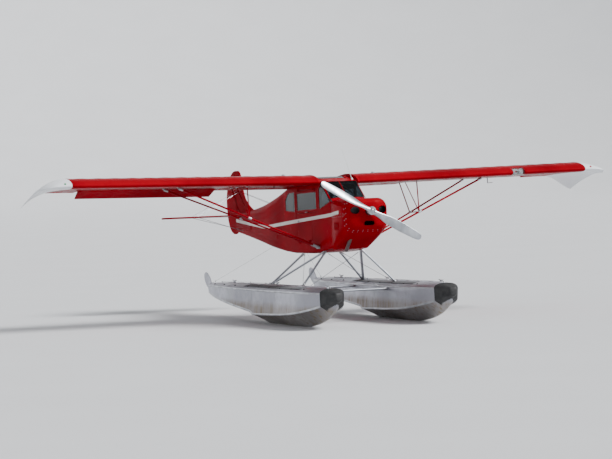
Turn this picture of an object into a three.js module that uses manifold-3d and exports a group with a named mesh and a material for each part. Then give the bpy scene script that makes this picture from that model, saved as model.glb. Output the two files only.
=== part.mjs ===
// A two-seat, high-wing, fabric-covered bush aeroplane on twin aluminium floats.
// Millimetres. +X is forward, +Y is to port, +Z is up, and the keels stand on z = 0.
import * as THREE from "three";
import { mergeVertices } from "three/addons/utils/BufferGeometryUtils.js";
import Module from "manifold-3d";

const wasm = await Module();
wasm.setup();

const { degToRad } = THREE.MathUtils;

// What the airframe is drawn from: x = 0 at the wing's leading edge, z above the keels before the pitch.
const leadingEdgeZ = 2460;
const airframePitch = degToRad(2.5);
const wingSpan = 10740;
const wingChord = 1600;
const wingThickness = 0.117;
const wingCamber = 0.045;
const camberPlace = 0.4;
const trailingEdge = 8;
const dihedral = degToRad(1);
const incidence = degToRad(2);
const tipLength = 470;
const cabinHalf = 360;
const wall = 24;
const hubX = 1340;
const hubZ = 1900;
const propRadius = 1040;
const propParked = degToRad(29);
const tailHingeX = -4720;
const tailZ = 2020;
const tailHalfSpan = 1600;
const tailThick = 34;
const rudderHingeX = -4950;

// What the floats are drawn from: x from the same leading edge, z above the keels.
const floatLength = 5700;
const floatBowX = 2250;
const floatY = 1060;
const stepAt = 3000;
const stepDepth = 62;
const keelHalf = 16;

// Fits: a seat of touching solids, and the room round a moving one.
const seat = 0.3;
const room = 8;
const doorRoom = 6;

// Rows of numbers under named columns.
function table(names, rows) {
  return rows.map((row) => Object.fromEntries(names.map((name, i) => [name, row[i]])));
}

// A closed geometry as a solid that can be joined and cut.
function solid(geometry) {
  const bare = new THREE.BufferGeometry();
  bare.setAttribute("position", geometry.getAttribute("position"));
  if (geometry.index) bare.setIndex(geometry.index);
  const merged = mergeVertices(bare, 1e-3);
  const mesh = new wasm.Mesh({
    numProp: 3,
    vertProperties: new Float32Array(merged.attributes.position.array),
    triVerts: new Uint32Array(merged.index.array),
  });
  return new wasm.Manifold(mesh);
}

function geometryOf(body) {
  const { numProp, vertProperties, triVerts } = body.getMesh();
  const positions = new Float32Array((vertProperties.length / numProp) * 3);
  for (let i = 0; i < positions.length / 3; i += 1) {
    positions.set(vertProperties.subarray(i * numProp, i * numProp + 3), i * 3);
  }
  const geometry = new THREE.BufferGeometry();
  geometry.setAttribute("position", new THREE.BufferAttribute(positions, 3));
  geometry.setIndex(new THREE.BufferAttribute(new Uint32Array(triVerts), 1));
  return geometry;
}

const join = (...bodies) => bodies.reduce((all, body) => all.add(body));
const cut = (body, ...tools) => tools.reduce((rest, tool) => rest.subtract(tool), body);

// The same body on the other side of the centre plane, its faces turned back outwards.
function mirrored(body) {
  const geometry = geometryOf(body).scale(1, -1, 1);
  const corners = geometry.index.array;
  for (let i = 0; i < corners.length; i += 3) {
    [corners[i + 1], corners[i + 2]] = [corners[i + 2], corners[i + 1]];
  }
  return solid(geometry);
}

function moved(body, matrix) {
  return solid(geometryOf(body).applyMatrix4(matrix));
}

// A skin through rings of as many points each, closed by a fan at either end.
function loft(rings) {
  const count = rings[0].length;
  const positions = rings.flat(2);
  const corners = [];
  for (let r = 0; r + 1 < rings.length; r += 1) {
    for (let i = 0; i < count; i += 1) {
      const j = (i + 1) % count;
      const [a, b, c, d] = [r * count + i, r * count + j, (r + 1) * count + i, (r + 1) * count + j];
      corners.push(a, b, d, a, d, c);
    }
  }
  const ends = [
    { ring: rings[0], first: 0, turn: false },
    { ring: rings.at(-1), first: (rings.length - 1) * count, turn: true },
  ];
  for (const { ring, first, turn } of ends) {
    const middle = [0, 1, 2].map((axis) => ring.reduce((sum, point) => sum + point[axis], 0) / count);
    const centre = positions.length / 3;
    positions.push(...middle);
    for (let i = 0; i < count; i += 1) {
      const pair = [first + i, first + ((i + 1) % count)];
      if (!turn) pair.reverse();
      corners.push(centre, ...pair);
    }
  }
  const point = (i) => new THREE.Vector3().fromArray(positions, i * 3);
  let volume = 0;
  for (let i = 0; i < corners.length; i += 3) {
    const [a, b, c] = corners.slice(i, i + 3).map(point);
    volume += a.dot(b.cross(c));
  }
  if (volume < 0) corners.reverse();
  const geometry = new THREE.BufferGeometry();
  geometry.setAttribute("position", new THREE.Float32BufferAttribute(positions, 3));
  geometry.setIndex(corners);
  return solid(geometry);
}

// A box between two corners.
function block(low, high) {
  const size = high.map((value, i) => value - low[i]);
  const middle = high.map((value, i) => (value + low[i]) / 2);
  return solid(new THREE.BoxGeometry(...size).translate(...middle));
}

// An outline of [x, z] points carried across from one y to another.
function sidePlate(outline, fromY, toY) {
  return loft([fromY, toY].map((y) => outline.map(([x, z]) => [x, y, z])));
}

// A straight bar of oval section between two points, its wider way as near to fore and aft as it can lie.
function bar(from, to, chord, thickness = chord, sides = 10) {
  const a = new THREE.Vector3(...from);
  const b = new THREE.Vector3(...to);
  const along = b.clone().sub(a);
  const length = along.length();
  along.normalize();
  const guide = Math.abs(along.x) > 0.9 ? new THREE.Vector3(0, 1, 0) : new THREE.Vector3(1, 0, 0);
  const wide = guide.addScaledVector(along, -guide.dot(along)).normalize();
  const thin = new THREE.Vector3().crossVectors(wide, along);
  wide.multiplyScalar(chord / 2);
  thin.multiplyScalar(thickness / 2);
  const place = new THREE.Matrix4().makeBasis(wide, along, thin);
  place.setPosition(a.add(b).multiplyScalar(0.5));
  return solid(new THREE.CylinderGeometry(1, 1, length, sides).applyMatrix4(place));
}

// One hinge: a fixed plate, the slot that it needs in the moving piece, and the pin across that slot.
const hingePlate = 8;
const hingeSlot = 24;
const hingePin = 6;
const pinFit = 0.8;
function hinge({ at, axis, towards, reach, nose, width = 28 }) {
  const point = new THREE.Vector3(...at);
  const along = new THREE.Vector3(...axis).normalize();
  const out = new THREE.Vector3(...towards).normalize();
  const across = new THREE.Vector3().crossVectors(out, along);
  const rod = (radius, length, sides = 10) => {
    const half = along.clone().multiplyScalar(length / 2);
    const ends = [point.clone().sub(half), point.clone().add(half)].map((end) => end.toArray());
    return bar(...ends, radius * 2, radius * 2, sides);
  };
  const place = new THREE.Matrix4().makeBasis(out, along, across);
  place.setPosition(point.clone().addScaledVector(out, reach / 2));
  const arm = solid(new THREE.BoxGeometry(reach, hingePlate, width).applyMatrix4(place));
  return {
    plate: cut(join(arm, rod(width / 2, hingePlate)), rod(hingePin + pinFit, 2 * hingePlate)),
    slot: rod(nose + 2, hingeSlot, 14),
    pin: rod(hingePin, hingeSlot + 4),
  };
}

// A moving piece and a fixed piece, joined by hinges at the places given.
function hinged(fixed, moving, hinges) {
  return hinges.map(hinge).reduce(
    (pair, { plate, slot, pin }) => ({
      fixed: join(pair.fixed, plate),
      moving: join(cut(pair.moving, slot), pin),
    }),
    { fixed, moving },
  );
}

// A flat piece with rounded edges, drawn in the plan (x, y) or standing in the plane of symmetry (x, z).
function slab(outline, thickness, { standing = false, at = 0, grow = 0 } = {}) {
  const edge = thickness * 0.3;
  const geometry = new THREE.ExtrudeGeometry(outline, {
    depth: thickness - 2 * edge + 2 * grow,
    bevelThickness: edge,
    bevelSize: edge,
    bevelOffset: grow - edge,
    bevelSegments: 1,
    curveSegments: 7,
  });
  geometry.translate(0, 0, edge - thickness / 2 - grow);
  if (standing) geometry.rotateX(Math.PI / 2).translate(0, at, 0);
  else geometry.translate(0, 0, at);
  return solid(geometry);
}

// The body's cross-section: flat sides, floor and roof, with a rounded corner between each two.
const cornerSteps = 3;
function bodyRing({ x, half, bottom, top, low, high }, grow = 0) {
  const corners = [
    { y: half - high, z: top - high, radius: high, start: 0 },
    { y: high - half, z: top - high, radius: high, start: 90 },
    { y: low - half, z: bottom + low, radius: low, start: 180 },
    { y: half - low, z: bottom + low, radius: low, start: 270 },
  ];
  return corners.flatMap(({ y, z, radius, start }) =>
    Array.from({ length: cornerSteps + 1 }, (_, k) => {
      const turn = degToRad(start + (90 * k) / cornerSteps);
      const reach = radius + grow;
      return [x, y + reach * Math.cos(turn), z + reach * Math.sin(turn)];
    }),
  );
}
const bodyLoft = (sections, grow = 0) => loft(sections.map((section) => bodyRing(section, grow)));

const bodyColumns = ["x", "half", "bottom", "top", "low", "high"];
const firewallX = 400;
const cabinEndX = -1750;
const cabinSections = table(bodyColumns, [
  [firewallX, 345, 1270, 2120, 60, 70],
  [0, cabinHalf, 1235, 2470, 45, 32],
  [-450, cabinHalf, 1220, 2570, 45, 32],
  [-1300, cabinHalf, 1245, 2505, 45, 32],
  [cabinEndX, 345, 1285, 2400, 45, 110],
]);
const sternX = -4924;
const tailSections = table(bodyColumns, [
  [cabinEndX - seat, 345, 1285, 2400, 45, 110],
  [-2350, 318, 1362, 2290, 50, 150],
  [-3200, 236, 1488, 2170, 50, 140],
  [-4150, 124, 1618, 2092, 40, 80],
  [sternX, 30, 1722, 2060, 14, 18],
]);
const cowlSections = table(bodyColumns, [
  [1245, 225, 1752, 2062, 110, 130],
  [1222, 305, 1672, 2096, 140, 160],
  [1140, 378, 1588, 2118, 150, 170],
  [950, 410, 1500, 2128, 135, 150],
  [700, 398, 1398, 2128, 110, 120],
  [firewallX + seat, 345, 1270, 2120, 60, 70],
]);

// The cabin's openings, as outlines seen from the side.
const sillZ = 1945;
const headZ = 2352;
const doorBack = -1140;
const upperDoorFront = -160;
const lowerDoorFront = -440;
const doorFootZ = 1440;
const windscreenOutline = [
  [352, 2088],
  [-98, 1975],
  [-98, headZ],
  [-14, 2400],
  [-14, 2700],
  [352, 2700],
];
const rectangle = (x0, x1, z0, z1) => [
  [x0, z0],
  [x1, z0],
  [x1, z1],
  [x0, z1],
];
const upperDoorway = rectangle(doorBack, upperDoorFront, sillZ, headZ);
const lowerDoorway = rectangle(doorBack, lowerDoorFront, doorFootZ, sillZ);
const portWindow = rectangle(doorBack, upperDoorFront, sillZ + 25, headZ - 12);
const doorWindow = rectangle(doorBack + 45, upperDoorFront - 45, sillZ + 45, headZ - 45);
const rearWindow = [
  [-1190, sillZ + 25],
  [-1190, headZ - 12],
  [-1520, headZ - 24],
  [-1668, 2210],
  [-1668, sillZ + 60],
];
const far = 600;
const inboard = 200;

// The outline drawn in by a distance: each corner is where its two edges meet once both have moved in.
function inset(outline, by) {
  const corners = outline.map(([x, z]) => new THREE.Vector2(x, z));
  const inward = THREE.ShapeUtils.isClockWise(corners) ? -1 : 1;
  return corners.map((corner, i) => {
    const before = corners.at(i - 1);
    const after = corners[(i + 1) % corners.length];
    const [m, n] = [corner.clone().sub(before), after.clone().sub(corner)].map((edge) =>
      new THREE.Vector2(-edge.y, edge.x).normalize().multiplyScalar(inward),
    );
    const step = by / (1 + m.dot(n));
    return [corner.x + (m.x + n.x) * step, corner.y + (m.y + n.y) * step];
  });
}

function buildCabin() {
  const outer = bodyLoft(cabinSections);
  const ends = block([cabinEndX + wall, -far, 1000], [firewallX - wall, far, 3000]);
  const inner = bodyLoft(cabinSections, -wall).intersect(ends);
  const shell = cut(outer, inner);
  const pane = cut(bodyLoft(cabinSections, -5), bodyLoft(cabinSections, -11));
  const skylight = { low: [-1120, -270, 2400], high: [-260, 270, 2700] };
  const cabin = cut(
    shell,
    sidePlate(windscreenOutline, -far, far),
    sidePlate(upperDoorway, -far, -inboard),
    sidePlate(lowerDoorway, -far, -inboard),
    sidePlate(rearWindow, -far, -inboard),
    sidePlate(rearWindow, inboard, far),
    sidePlate(portWindow, inboard, far),
    block(skylight.low, skylight.high),
  );
  const glassIn = (outline, fromY, toY) => pane.intersect(sidePlate(inset(outline, seat), fromY, toY));
  const shrunk = (corner, sign) => corner.map((value, i) => (i < 2 ? value + sign * seat : value));
  const upper = shell.intersect(
    sidePlate(
      rectangle(doorBack + doorRoom, upperDoorFront - doorRoom, sillZ + doorRoom / 2, headZ - doorRoom),
      -far,
      -inboard,
    ),
  );
  const lower = shell.intersect(
    sidePlate(
      rectangle(doorBack + doorRoom, lowerDoorFront - doorRoom, doorFootZ + doorRoom, sillZ - doorRoom / 2),
      -far,
      -inboard,
    ),
  );
  const well = bodyLoft(cabinSections, -wall - seat).intersect(
    block([cabinEndX + wall + seat, -far, 1000], [firewallX - wall - seat, far, 3000]),
  );
  return {
    cabin,
    windscreen: glassIn(windscreenOutline, -far, far),
    portGlass: glassIn(portWindow, inboard, far),
    portRearGlass: glassIn(rearWindow, inboard, far),
    rearGlass: glassIn(rearWindow, -far, -inboard),
    skylight: pane.intersect(block(shrunk(skylight.low, 1), shrunk(skylight.high, -1))),
    upper: cut(upper, sidePlate(doorWindow, -far, -inboard)),
    upperGlass: glassIn(doorWindow, -far, -inboard),
    lower,
    well,
  };
}

// The starboard doors turn on barrels just outside the skin: the upper at its head, the lower at its foot.
const doorHingeY = -cabinHalf - 16;
const upperHingeZ = headZ - 12;
const lowerHingeZ = doorFootZ + 12;
const barrel = 10;
function hangDoor(cabin, door, places, z, upwards) {
  const knuckles = places.map((x) =>
    join(
      bar([x - 40, doorHingeY, z], [x + 40, doorHingeY, z], 2 * barrel, 2 * barrel),
      block([x - 40, doorHingeY, z - barrel], [x + 40, doorHingeY + 24, z + barrel * 0.5]),
    ),
  );
  const hinges = places.map((x) => ({
    at: [x, doorHingeY, z],
    axis: [1, 0, 0],
    towards: [0, 0.36, upwards],
    reach: 62,
    nose: barrel + 3.5,
    width: 15,
  }));
  return hinged(cabin, join(door, ...knuckles), hinges);
}

const floorZ = 1320;
function buildInterior(well) {
  const floor = well.intersect(block([-1640, -far, 1000], [360, far, floorZ]));
  const panel = well.intersect(join(
    block([95, -far, 1800], [125, far, 2095]),
    block([95, -far, 2070], [235, far, 2095]),
  ));
  const seatColumns = ["front", "back", "half", "cushion", "thick", "topX", "topZ"];
  const seats = table(seatColumns, [
    [-400, -850, 215, 1570, 80, -940, 2080],
    [-1210, -1560, 235, 1540, 80, -1630, 2010],
  ]).map(({ front, back, half, cushion, thick, topX, topZ }) => {
    const pad = block([back, -half, cushion - thick], [front, half, cushion]);
    const rest = loft(
      [-half + 12, half - 12].map((y) => [
        [back + 20, y, cushion - 60],
        [back - 40, y, cushion - 60],
        [topX - 30, y, topZ],
        [topX + 25, y, topZ],
      ]),
    );
    const legs = [front - 40, back + 60].flatMap((x) =>
      [-half + 30, half - 30].map((y) => bar([x, y, floorZ + seat], [x, y, cushion - thick + 5], 24)),
    );
    return join(pad, rest, ...legs);
  });
  const sticks = [-230, -1075].map((x) =>
    join(
      bar([x, 0, floorZ + 20], [x + 20, 0, 1760], 24, 24, 10),
      bar([x + 20, 0, 1700], [x + 26, 0, 1820], 36, 36, 10),
      block([x - 30, -30, floorZ + seat], [x + 30, 30, floorZ + 30]),
    ),
  );
  const link = bar([-230, 0, floorZ + 16], [-1075, 0, floorZ + 16], 24, 24, 10);
  return { floor, panel, seats, sticks: join(link, ...sticks) };
}

const noseJointX = 1100;
const cowlSplitZ = 1850;
function buildCowl() {
  const skin = 8;
  const outer = bodyLoft(cowlSections);
  const [front, ...rest] = cowlSections;
  const innerSections = [{ ...front, x: front.x - skin }, ...rest];
  const past = { ...innerSections.at(-1), x: firewallX - 50 };
  const shell = cut(outer, bodyLoft([...innerSections, past], -skin));
  const tunnel = (y, z, wide, tall) => bar([1000, y, z], [1400, y, z], wide, tall, 20);
  const open = cut(
    shell,
    tunnel(255, hubZ + 20, 165, 135),
    tunnel(-255, hubZ + 20, 165, 135),
    tunnel(0, hubZ, 150, 150),
    block([1100, -100, 1650], [1400, 100, 1735]),
  );
  const part = (x0, x1, z0, z1) => open.intersect(block([x0, -far, z0], [x1, far, z1]));
  return {
    outer,
    nose: part(noseJointX + seat / 2, 1400, 1000, 3000),
    top: part(0, noseJointX - seat / 2, cowlSplitZ + seat / 2, 3000),
    bottom: part(0, noseJointX - seat / 2, 1000, cowlSplitZ - seat / 2),
  };
}

const propBackX = hubX - 48;
function buildEngine() {
  const cylinders = [700, 930].flatMap((x) =>
    [-1, 1].map((side) => block([x, side < 0 ? -345 : 120, 1830], [x + 150, side < 0 ? -120 : 345, 1985])),
  );
  const bearers = [-1, 1].flatMap((side) => [
    bar([640, side * 110, 1815], [390, side * 250, 1560], 26),
    bar([640, side * 110, 1985], [390, side * 250, 2040], 26),
  ]);
  const engine = join(
    block([600, -130, 1790], [1150, 130, 2010]),
    ...cylinders,
    ...bearers,
    bar([1140, 0, hubZ], [propBackX - seat, 0, hubZ], 76, 76, 20),
    bar([propBackX - 18, 0, hubZ], [propBackX - seat, 0, hubZ], 130, 130, 20),
  );
  return cut(engine, block([0, -far, 1000], [firewallX + seat, far, 3000]));
}

// The blade's sections, by the radius at which each stands; angle is from the plane of turning.
const bladeColumns = ["radius", "chord", "thick", "angle"];
const bladeSections = table(bladeColumns, [
  [50, 96, 84, 62],
  [170, 118, 58, 52],
  [330, 158, 34, 38],
  [560, 166, 23, 27],
  [800, 148, 16, 20],
  [970, 118, 11, 16],
  [propRadius - 14, 82, 8, 15],
  [propRadius, 40, 6, 15],
]);
function buildPropeller() {
  const sides = 12;
  const blade = loft(
    bladeSections.map(({ radius, chord, thick, angle }) =>
      Array.from({ length: sides }, (_, k) => {
        const turn = (2 * Math.PI * k) / sides;
        const along = (chord / 2) * Math.cos(turn);
        const deep = (thick / 2) * Math.sin(turn);
        const [sin, cos] = [Math.sin(degToRad(angle)), Math.cos(degToRad(angle))];
        return [along * sin - deep * cos, -along * cos - deep * sin, radius];
      }),
    ),
  );
  const opposite = moved(blade, new THREE.Matrix4().makeRotationX(Math.PI));
  const hub = bar([-48, 0, 0], [48, 0, 0], 150, 150, 24);
  const bolts = bar([40, 0, 0], [62, 0, 0], 92, 92, 16);
  const parked = new THREE.Matrix4().makeRotationX(-Math.PI / 2 - propParked);
  parked.setPosition(hubX, 0, hubZ);
  return moved(join(blade, opposite, hub, bolts), parked);
}

// The wing's section: a mean line and a thickness at the fraction t of the chord.
function meanAt(t) {
  const p = camberPlace;
  if (t < p) return (wingCamber / p ** 2) * (2 * p * t - t * t);
  return (wingCamber / (1 - p) ** 2) * (1 - 2 * p + 2 * p * t - t * t);
}
function halfThickAt(t) {
  const form = 0.2969 * Math.sqrt(t) - 0.126 * t - 0.3516 * t ** 2 + 0.2843 * t ** 3 - 0.1036 * t ** 4;
  return 5 * wingThickness * form + (t * trailingEdge) / (2 * wingChord);
}
const riseAt = (y) => (y - cabinHalf) * Math.tan(dihedral);
function wingPoint(t, side, y, { setback = 0, chord = wingChord, thick = 1, droop = 0, grow = 0 } = {}) {
  const aft = setback + chord * t;
  const sag = aft * Math.tan(incidence) + droop * (0.12 + (0.88 * aft) / wingChord);
  const middle = leadingEdgeZ + riseAt(y) - sag;
  return [
    -aft + (t === 0 ? grow : 0),
    y,
    middle + chord * (meanAt(t) + side * thick * halfThickAt(t)) + side * grow,
  ];
}
const chordSteps = 10;
const chordFractions = Array.from(
  { length: chordSteps + 1 },
  (_, k) => (1 - Math.cos((Math.PI * k) / chordSteps)) / 2,
);
function wingRing(y, options) {
  const upper = [...chordFractions].reverse().map((t) => wingPoint(t, 1, y, options));
  const lower = chordFractions.slice(1).map((t) => wingPoint(t, -1, y, options));
  return [...upper, ...lower];
}

// Flap and aileron share one hinge line; each turns in a rounded cove.
const hingeAt = 0.76;
const hingeX = -wingChord * hingeAt;
const hingeZ = (y) => leadingEdgeZ + riseAt(y) + wingChord * meanAt(hingeAt) + hingeX * Math.tan(incidence);
const surfaceNose = wingChord * halfThickAt(hingeAt) - 3;
const surfaces = table(["name", "from", "to", "places"], [
  ["flap", 420, 1810, [600, 1630]],
  ["aileron", 1850, 4360, [2080, 3105, 4130]],
]);
const aileronRest = degToRad(17);
function surfaceRing(y) {
  const aft = [1, 0.93, 0.85, hingeAt];
  const nose = [60, 30, 0, -30, -60].map((degrees) => {
    const turn = degToRad(degrees);
    return [hingeX + surfaceNose * Math.cos(turn), y, hingeZ(y) + surfaceNose * Math.sin(turn)];
  });
  return [
    ...aft.map((t) => wingPoint(t, 1, y)),
    ...nose,
    ...[...aft].reverse().map((t) => wingPoint(t, -1, y)),
  ];
}
function coveRing(y) {
  const reach = surfaceNose + 12;
  const arc = [90, 60, 30, 0, -30, -60, -90].map((degrees) => {
    const turn = degToRad(degrees);
    return [hingeX + reach * Math.cos(turn), y, hingeZ(y) + reach * Math.sin(turn)];
  });
  return [[-wingChord - 80, y, hingeZ(y) + reach], ...arc, [-wingChord - 80, y, hingeZ(y) - reach - 20]];
}

// The tips are square in plan, with rounded corners, and curve down, most at the trailing edge.
const tipStart = wingSpan / 2 - tipLength;
const tipDroop = 290;
const tipCorner = 0.45;
const tipSweep = 230;
const tipSteps = 8;
function tipRing(k) {
  const q = k / tipSteps;
  const round = 1 - Math.sqrt(1 - (Math.max(0, q - tipCorner) / (1 - tipCorner)) ** 2);
  return wingRing(tipStart + tipLength * q, {
    setback: tipSweep * round,
    chord: wingChord - tipSweep * round * 1.5,
    thick: 1 - 0.82 * q ** 2,
    droop: tipDroop * q ** 1.5,
  });
}
function buildWing(withLight) {
  const cove = loft([surfaces[0].from - room, surfaces[1].to + room].map(coveRing));
  const panel = loft([cabinHalf + seat, tipStart - seat].map((y) => wingRing(y)));
  const axis = [0, Math.cos(dihedral), Math.sin(dihedral)];
  let wing = cut(panel, cove);
  const moving = {};
  for (const { name, from, to, places } of surfaces) {
    const hinges = places.map((y) => ({
      at: [hingeX, y, hingeZ(y)],
      axis,
      towards: [1, 0, 0],
      reach: 105,
      nose: surfaceNose,
    }));
    const pair = hinged(wing, loft([from, to].map(surfaceRing)), hinges);
    wing = pair.fixed;
    moving[name] = pair.moving;
  }
  const lampBay = { low: [-120, 3430, 2300], high: [60, 3670, 2700] };
  const lens = {
    low: lampBay.low.map((value, i) => (i < 2 ? value + seat : value)),
    high: lampBay.high.map((value, i) => (i === 1 ? value - seat : value)),
  };
  const light = panel.intersect(block(lens.low, lens.high));
  return {
    wing: withLight ? cut(wing, block(lampBay.low, lampBay.high)) : wing,
    tip: loft(Array.from({ length: tipSteps + 1 }, (_, k) => tipRing(k))),
    light,
    ...moving,
  };
}

// An aileron stands a little off neutral, as it is left: to starboard down, to port up.
function restingAileron(aileron, turn) {
  const centre = new THREE.Matrix4().makeTranslation(-hingeX, 0, -hingeZ(0));
  const back = new THREE.Matrix4().makeTranslation(hingeX, 0, hingeZ(0));
  const axis = new THREE.Vector3(0, Math.cos(dihedral), Math.sin(dihedral));
  const spin = new THREE.Matrix4().makeRotationAxis(axis, turn);
  return moved(aileron, back.multiply(spin).multiply(centre));
}

const strutFootX = -165;
const strutY = 2900;
const frontSparX = -265;
const rearSparX = -1010;
function buildLiftStruts(cabinSolid) {
  const wingSolid = loft([cabinHalf, tipStart].map((y) => wingRing(y, { grow: seat })));
  const foot = [strutFootX, cabinHalf - 6, 1320];
  const footAft = [strutFootX - 60, cabinHalf - 6, 1320];
  const head = (x) => [x, strutY, leadingEdgeZ + riseAt(strutY)];
  const onBar = (from, to, share) => from.map((value, i) => value + (to[i] - value) * share);
  const half = 0.5;
  const frontMid = onBar(foot, head(frontSparX), half);
  const rearMid = onBar(footAft, head(rearSparX), half);
  const struts = join(
    bar(foot, head(frontSparX), 76, 34),
    bar(footAft, head(rearSparX), 62, 30),
    block([strutFootX - 105, cabinHalf - 10, 1290], [strutFootX + 45, cabinHalf + 40, 1352]),
    bar(frontMid, rearMid, 20),
    bar(frontMid, [frontSparX, frontMid[1], leadingEdgeZ + 20], 26, 18),
    bar(rearMid, [rearSparX, rearMid[1], leadingEdgeZ + 20], 26, 18),
    bar(frontMid, [rearSparX + 250, rearMid[1], leadingEdgeZ + 20], 18),
  );
  return cut(struts, cabinSolid, wingSolid);
}

function outline(start, ...curves) {
  const shape = new THREE.Shape();
  shape.moveTo(...start);
  for (const curve of curves) {
    if (curve.length === 2) shape.lineTo(...curve);
    else shape.bezierCurveTo(...curve);
  }
  return shape;
}

// The tail: a fin and rudder standing up, a stabiliser and elevator lying across.
const finTopZ = 2884;
const finOutline = outline(
  [-3780, 2000],
  [-4170, 2140, -4430, 2230, -4560, 2470],
  [-4630, 2620, -4650, 2860, -4790, finTopZ - 4],
  [sternX, finTopZ],
  [sternX, 1990],
);
const rudderOutline = outline(
  [rudderHingeX, finTopZ],
  [-5130, 2880, -5390, 2700, -5440, 2360],
  [-5470, 2060, -5380, 1780, -5180, 1700],
  [-5100, 1670, -5000, 1668, rudderHingeX, 1690],
);
const stabiliserOutline = outline(
  [-3990, 0],
  [-4080, 120],
  [-4330, 980],
  [-4400, 1260, -4460, 1560, -4620, tailHalfSpan],
  [tailHingeX + 25, tailHalfSpan],
  [tailHingeX + 25, 0],
);
const elevatorOutline = outline(
  [tailHingeX, 75],
  [tailHingeX, tailHalfSpan],
  [-4860, tailHalfSpan, -5010, 1500, -5070, 1280],
  [-5170, 920, -5180, 520, -5150, 190],
);
function buildTail() {
  const fuselage = bodyLoft(tailSections);
  const fuselageRoom = bodyLoft(tailSections, seat);
  const tubeReach = 110;
  const tube = bar([tailHingeX, -tubeReach, tailZ], [tailHingeX, tubeReach, tailZ], 28, 28, 16);
  const tubeHole = bar([tailHingeX, -tubeReach, tailZ], [tailHingeX, tubeReach, tailZ], 30, 30, 16);
  const nose = tailThick / 2;

  const post = bar([rudderHingeX, 0, 1700], [rudderHingeX, 0, finTopZ - 8], 2 * nose, 2 * nose);
  const rudderHinges = (places) => places.map((z) => ({
    at: [rudderHingeX, 0, z], axis: [0, 0, 1], towards: [1, 0, 0], reach: 60, nose, width: 22,
  }));
  const rudderBody = join(slab(rudderOutline, tailThick, { standing: true }), post);
  const low = hinged(cut(fuselage, tubeHole), rudderBody, rudderHinges([1830]));
  const fin = cut(slab(finOutline, tailThick, { standing: true }), fuselageRoom);
  const high = hinged(fin, low.moving, rudderHinges([2230, 2620]));

  const port = cut(slab(stabiliserOutline, tailThick, { at: tailZ }), fuselageRoom);
  const roomForTube = block([tailHingeX - 60, -90, tailZ - 60], [tailHingeX + 32, 90, tailZ + 60]);
  const rod = bar([tailHingeX, 76, tailZ], [tailHingeX, tailHalfSpan - 12, tailZ], 2 * nose, 2 * nose);
  const half = join(slab(elevatorOutline, tailThick, { at: tailZ }), rod);
  const elevatorHinges = [420, 1250].map((y) => ({
    at: [tailHingeX, y, tailZ], axis: [0, 1, 0], towards: [1, 0, 0], reach: 60, nose, width: 22,
  }));
  const side = hinged(cut(port, roomForTube), half, elevatorHinges);
  return {
    fuselage: low.fixed,
    fin: high.fixed,
    rudder: high.moving,
    stabiliser: side.fixed,
    elevator: join(side.moving, mirrored(side.moving), tube),
    solids: [
      fuselageRoom,
      slab(finOutline, tailThick, { standing: true, grow: seat }),
    ],
  };
}

// Four stays a side hold each stabiliser, up to the fin and down to the body's foot.
function buildStays(solids) {
  const rows = table(["x", "y", "upX", "upZ", "downX", "downZ"], [
    [-4420, 1020, -4720, 2480, -4420, 1700],
    [tailHingeX + 50, 1060, -4860, 2500, -4780, 1760],
  ]);
  const stays = rows.flatMap(({ x, y, upX, upZ, downX, downZ }) => [
    bar([x, y, tailZ], [upX, 0, upZ], 10, 10, 6),
    bar([x, y, tailZ], [downX, 0, downZ], 10, 10, 6),
  ]);
  return cut(join(...stays), ...solids);
}

// The float's sections: u is the distance aft of the bow, and the rest are half-beams and heights.
const floatColumns = ["u", "keel", "chine", "beam", "deck", "edge", "crown"];
const floatSections = table(floatColumns, [
  [0, 470, 500, 60, 72, 590, 628],
  [90, 365, 455, 128, 138, 602, 662],
  [300, 222, 390, 220, 226, 612, 690],
  [650, 104, 318, 300, 296, 612, 702],
  [1050, 30, 262, 346, 330, 606, 702],
  [1450, 0, 226, 366, 344, 600, 694],
  [stepAt, 0, 172, 370, 346, 592, 676],
  [stepAt + 2, stepDepth, 214, 362, 346, 592, 676],
  [4200, 222, 318, 330, 322, 590, 664],
  [5100, 338, 402, 244, 250, 588, 648],
  [floatLength, 424, 462, 128, 142, 584, 626],
]);
const crownHalf = 46;
function floatRing({ u, keel, chine, beam, deck, edge, crown }, grow = 0) {
  const half = [
    [keelHalf, keel - grow],
    [beam + grow, chine - grow * 0.5],
    [deck + grow, edge],
    [deck * 0.84 + grow, edge + (crown - edge) * 0.55 + grow],
    [Math.min(crownHalf, deck * 0.5), crown + grow],
  ];
  const ring = [...half, ...half.map(([y, z]) => [-y, z]).reverse()];
  return ring.map(([y, z]) => [floatBowX - u, floatY + y, z]);
}
const floatLoft = (grow = 0) => loft(floatSections.map((section) => floatRing(section, grow)));

// A rubber cap wraps the bow.
const rubberThick = 16;
const bumperLength = 250;
function buildBumper(hullRoom) {
  const front = { u: -52, keel: 505, chine: 520, beam: 34, deck: 40, edge: 585, crown: 606 };
  const cap = [front, ...floatSections.slice(0, 3)].map((section) => ({
    ...section,
    keel: section.keel + (section.u > 0 ? 30 : 0),
  }));
  const sleeve = loft(cap.map((section) => floatRing(section, rubberThick)));
  return cut(sleeve, hullRoom, block([0, 0, 0], [floatBowX - bumperLength, 2000, 1000]));
}

const airframeMatrix = new THREE.Matrix4()
  .makeTranslation(0, 0, leadingEdgeZ)
  .multiply(new THREE.Matrix4().makeRotationY(-airframePitch))
  .multiply(new THREE.Matrix4().makeTranslation(0, 0, -leadingEdgeZ));
const onAirframe = (x, y, z) => new THREE.Vector3(x, y, z).applyMatrix4(airframeMatrix).toArray();

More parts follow.
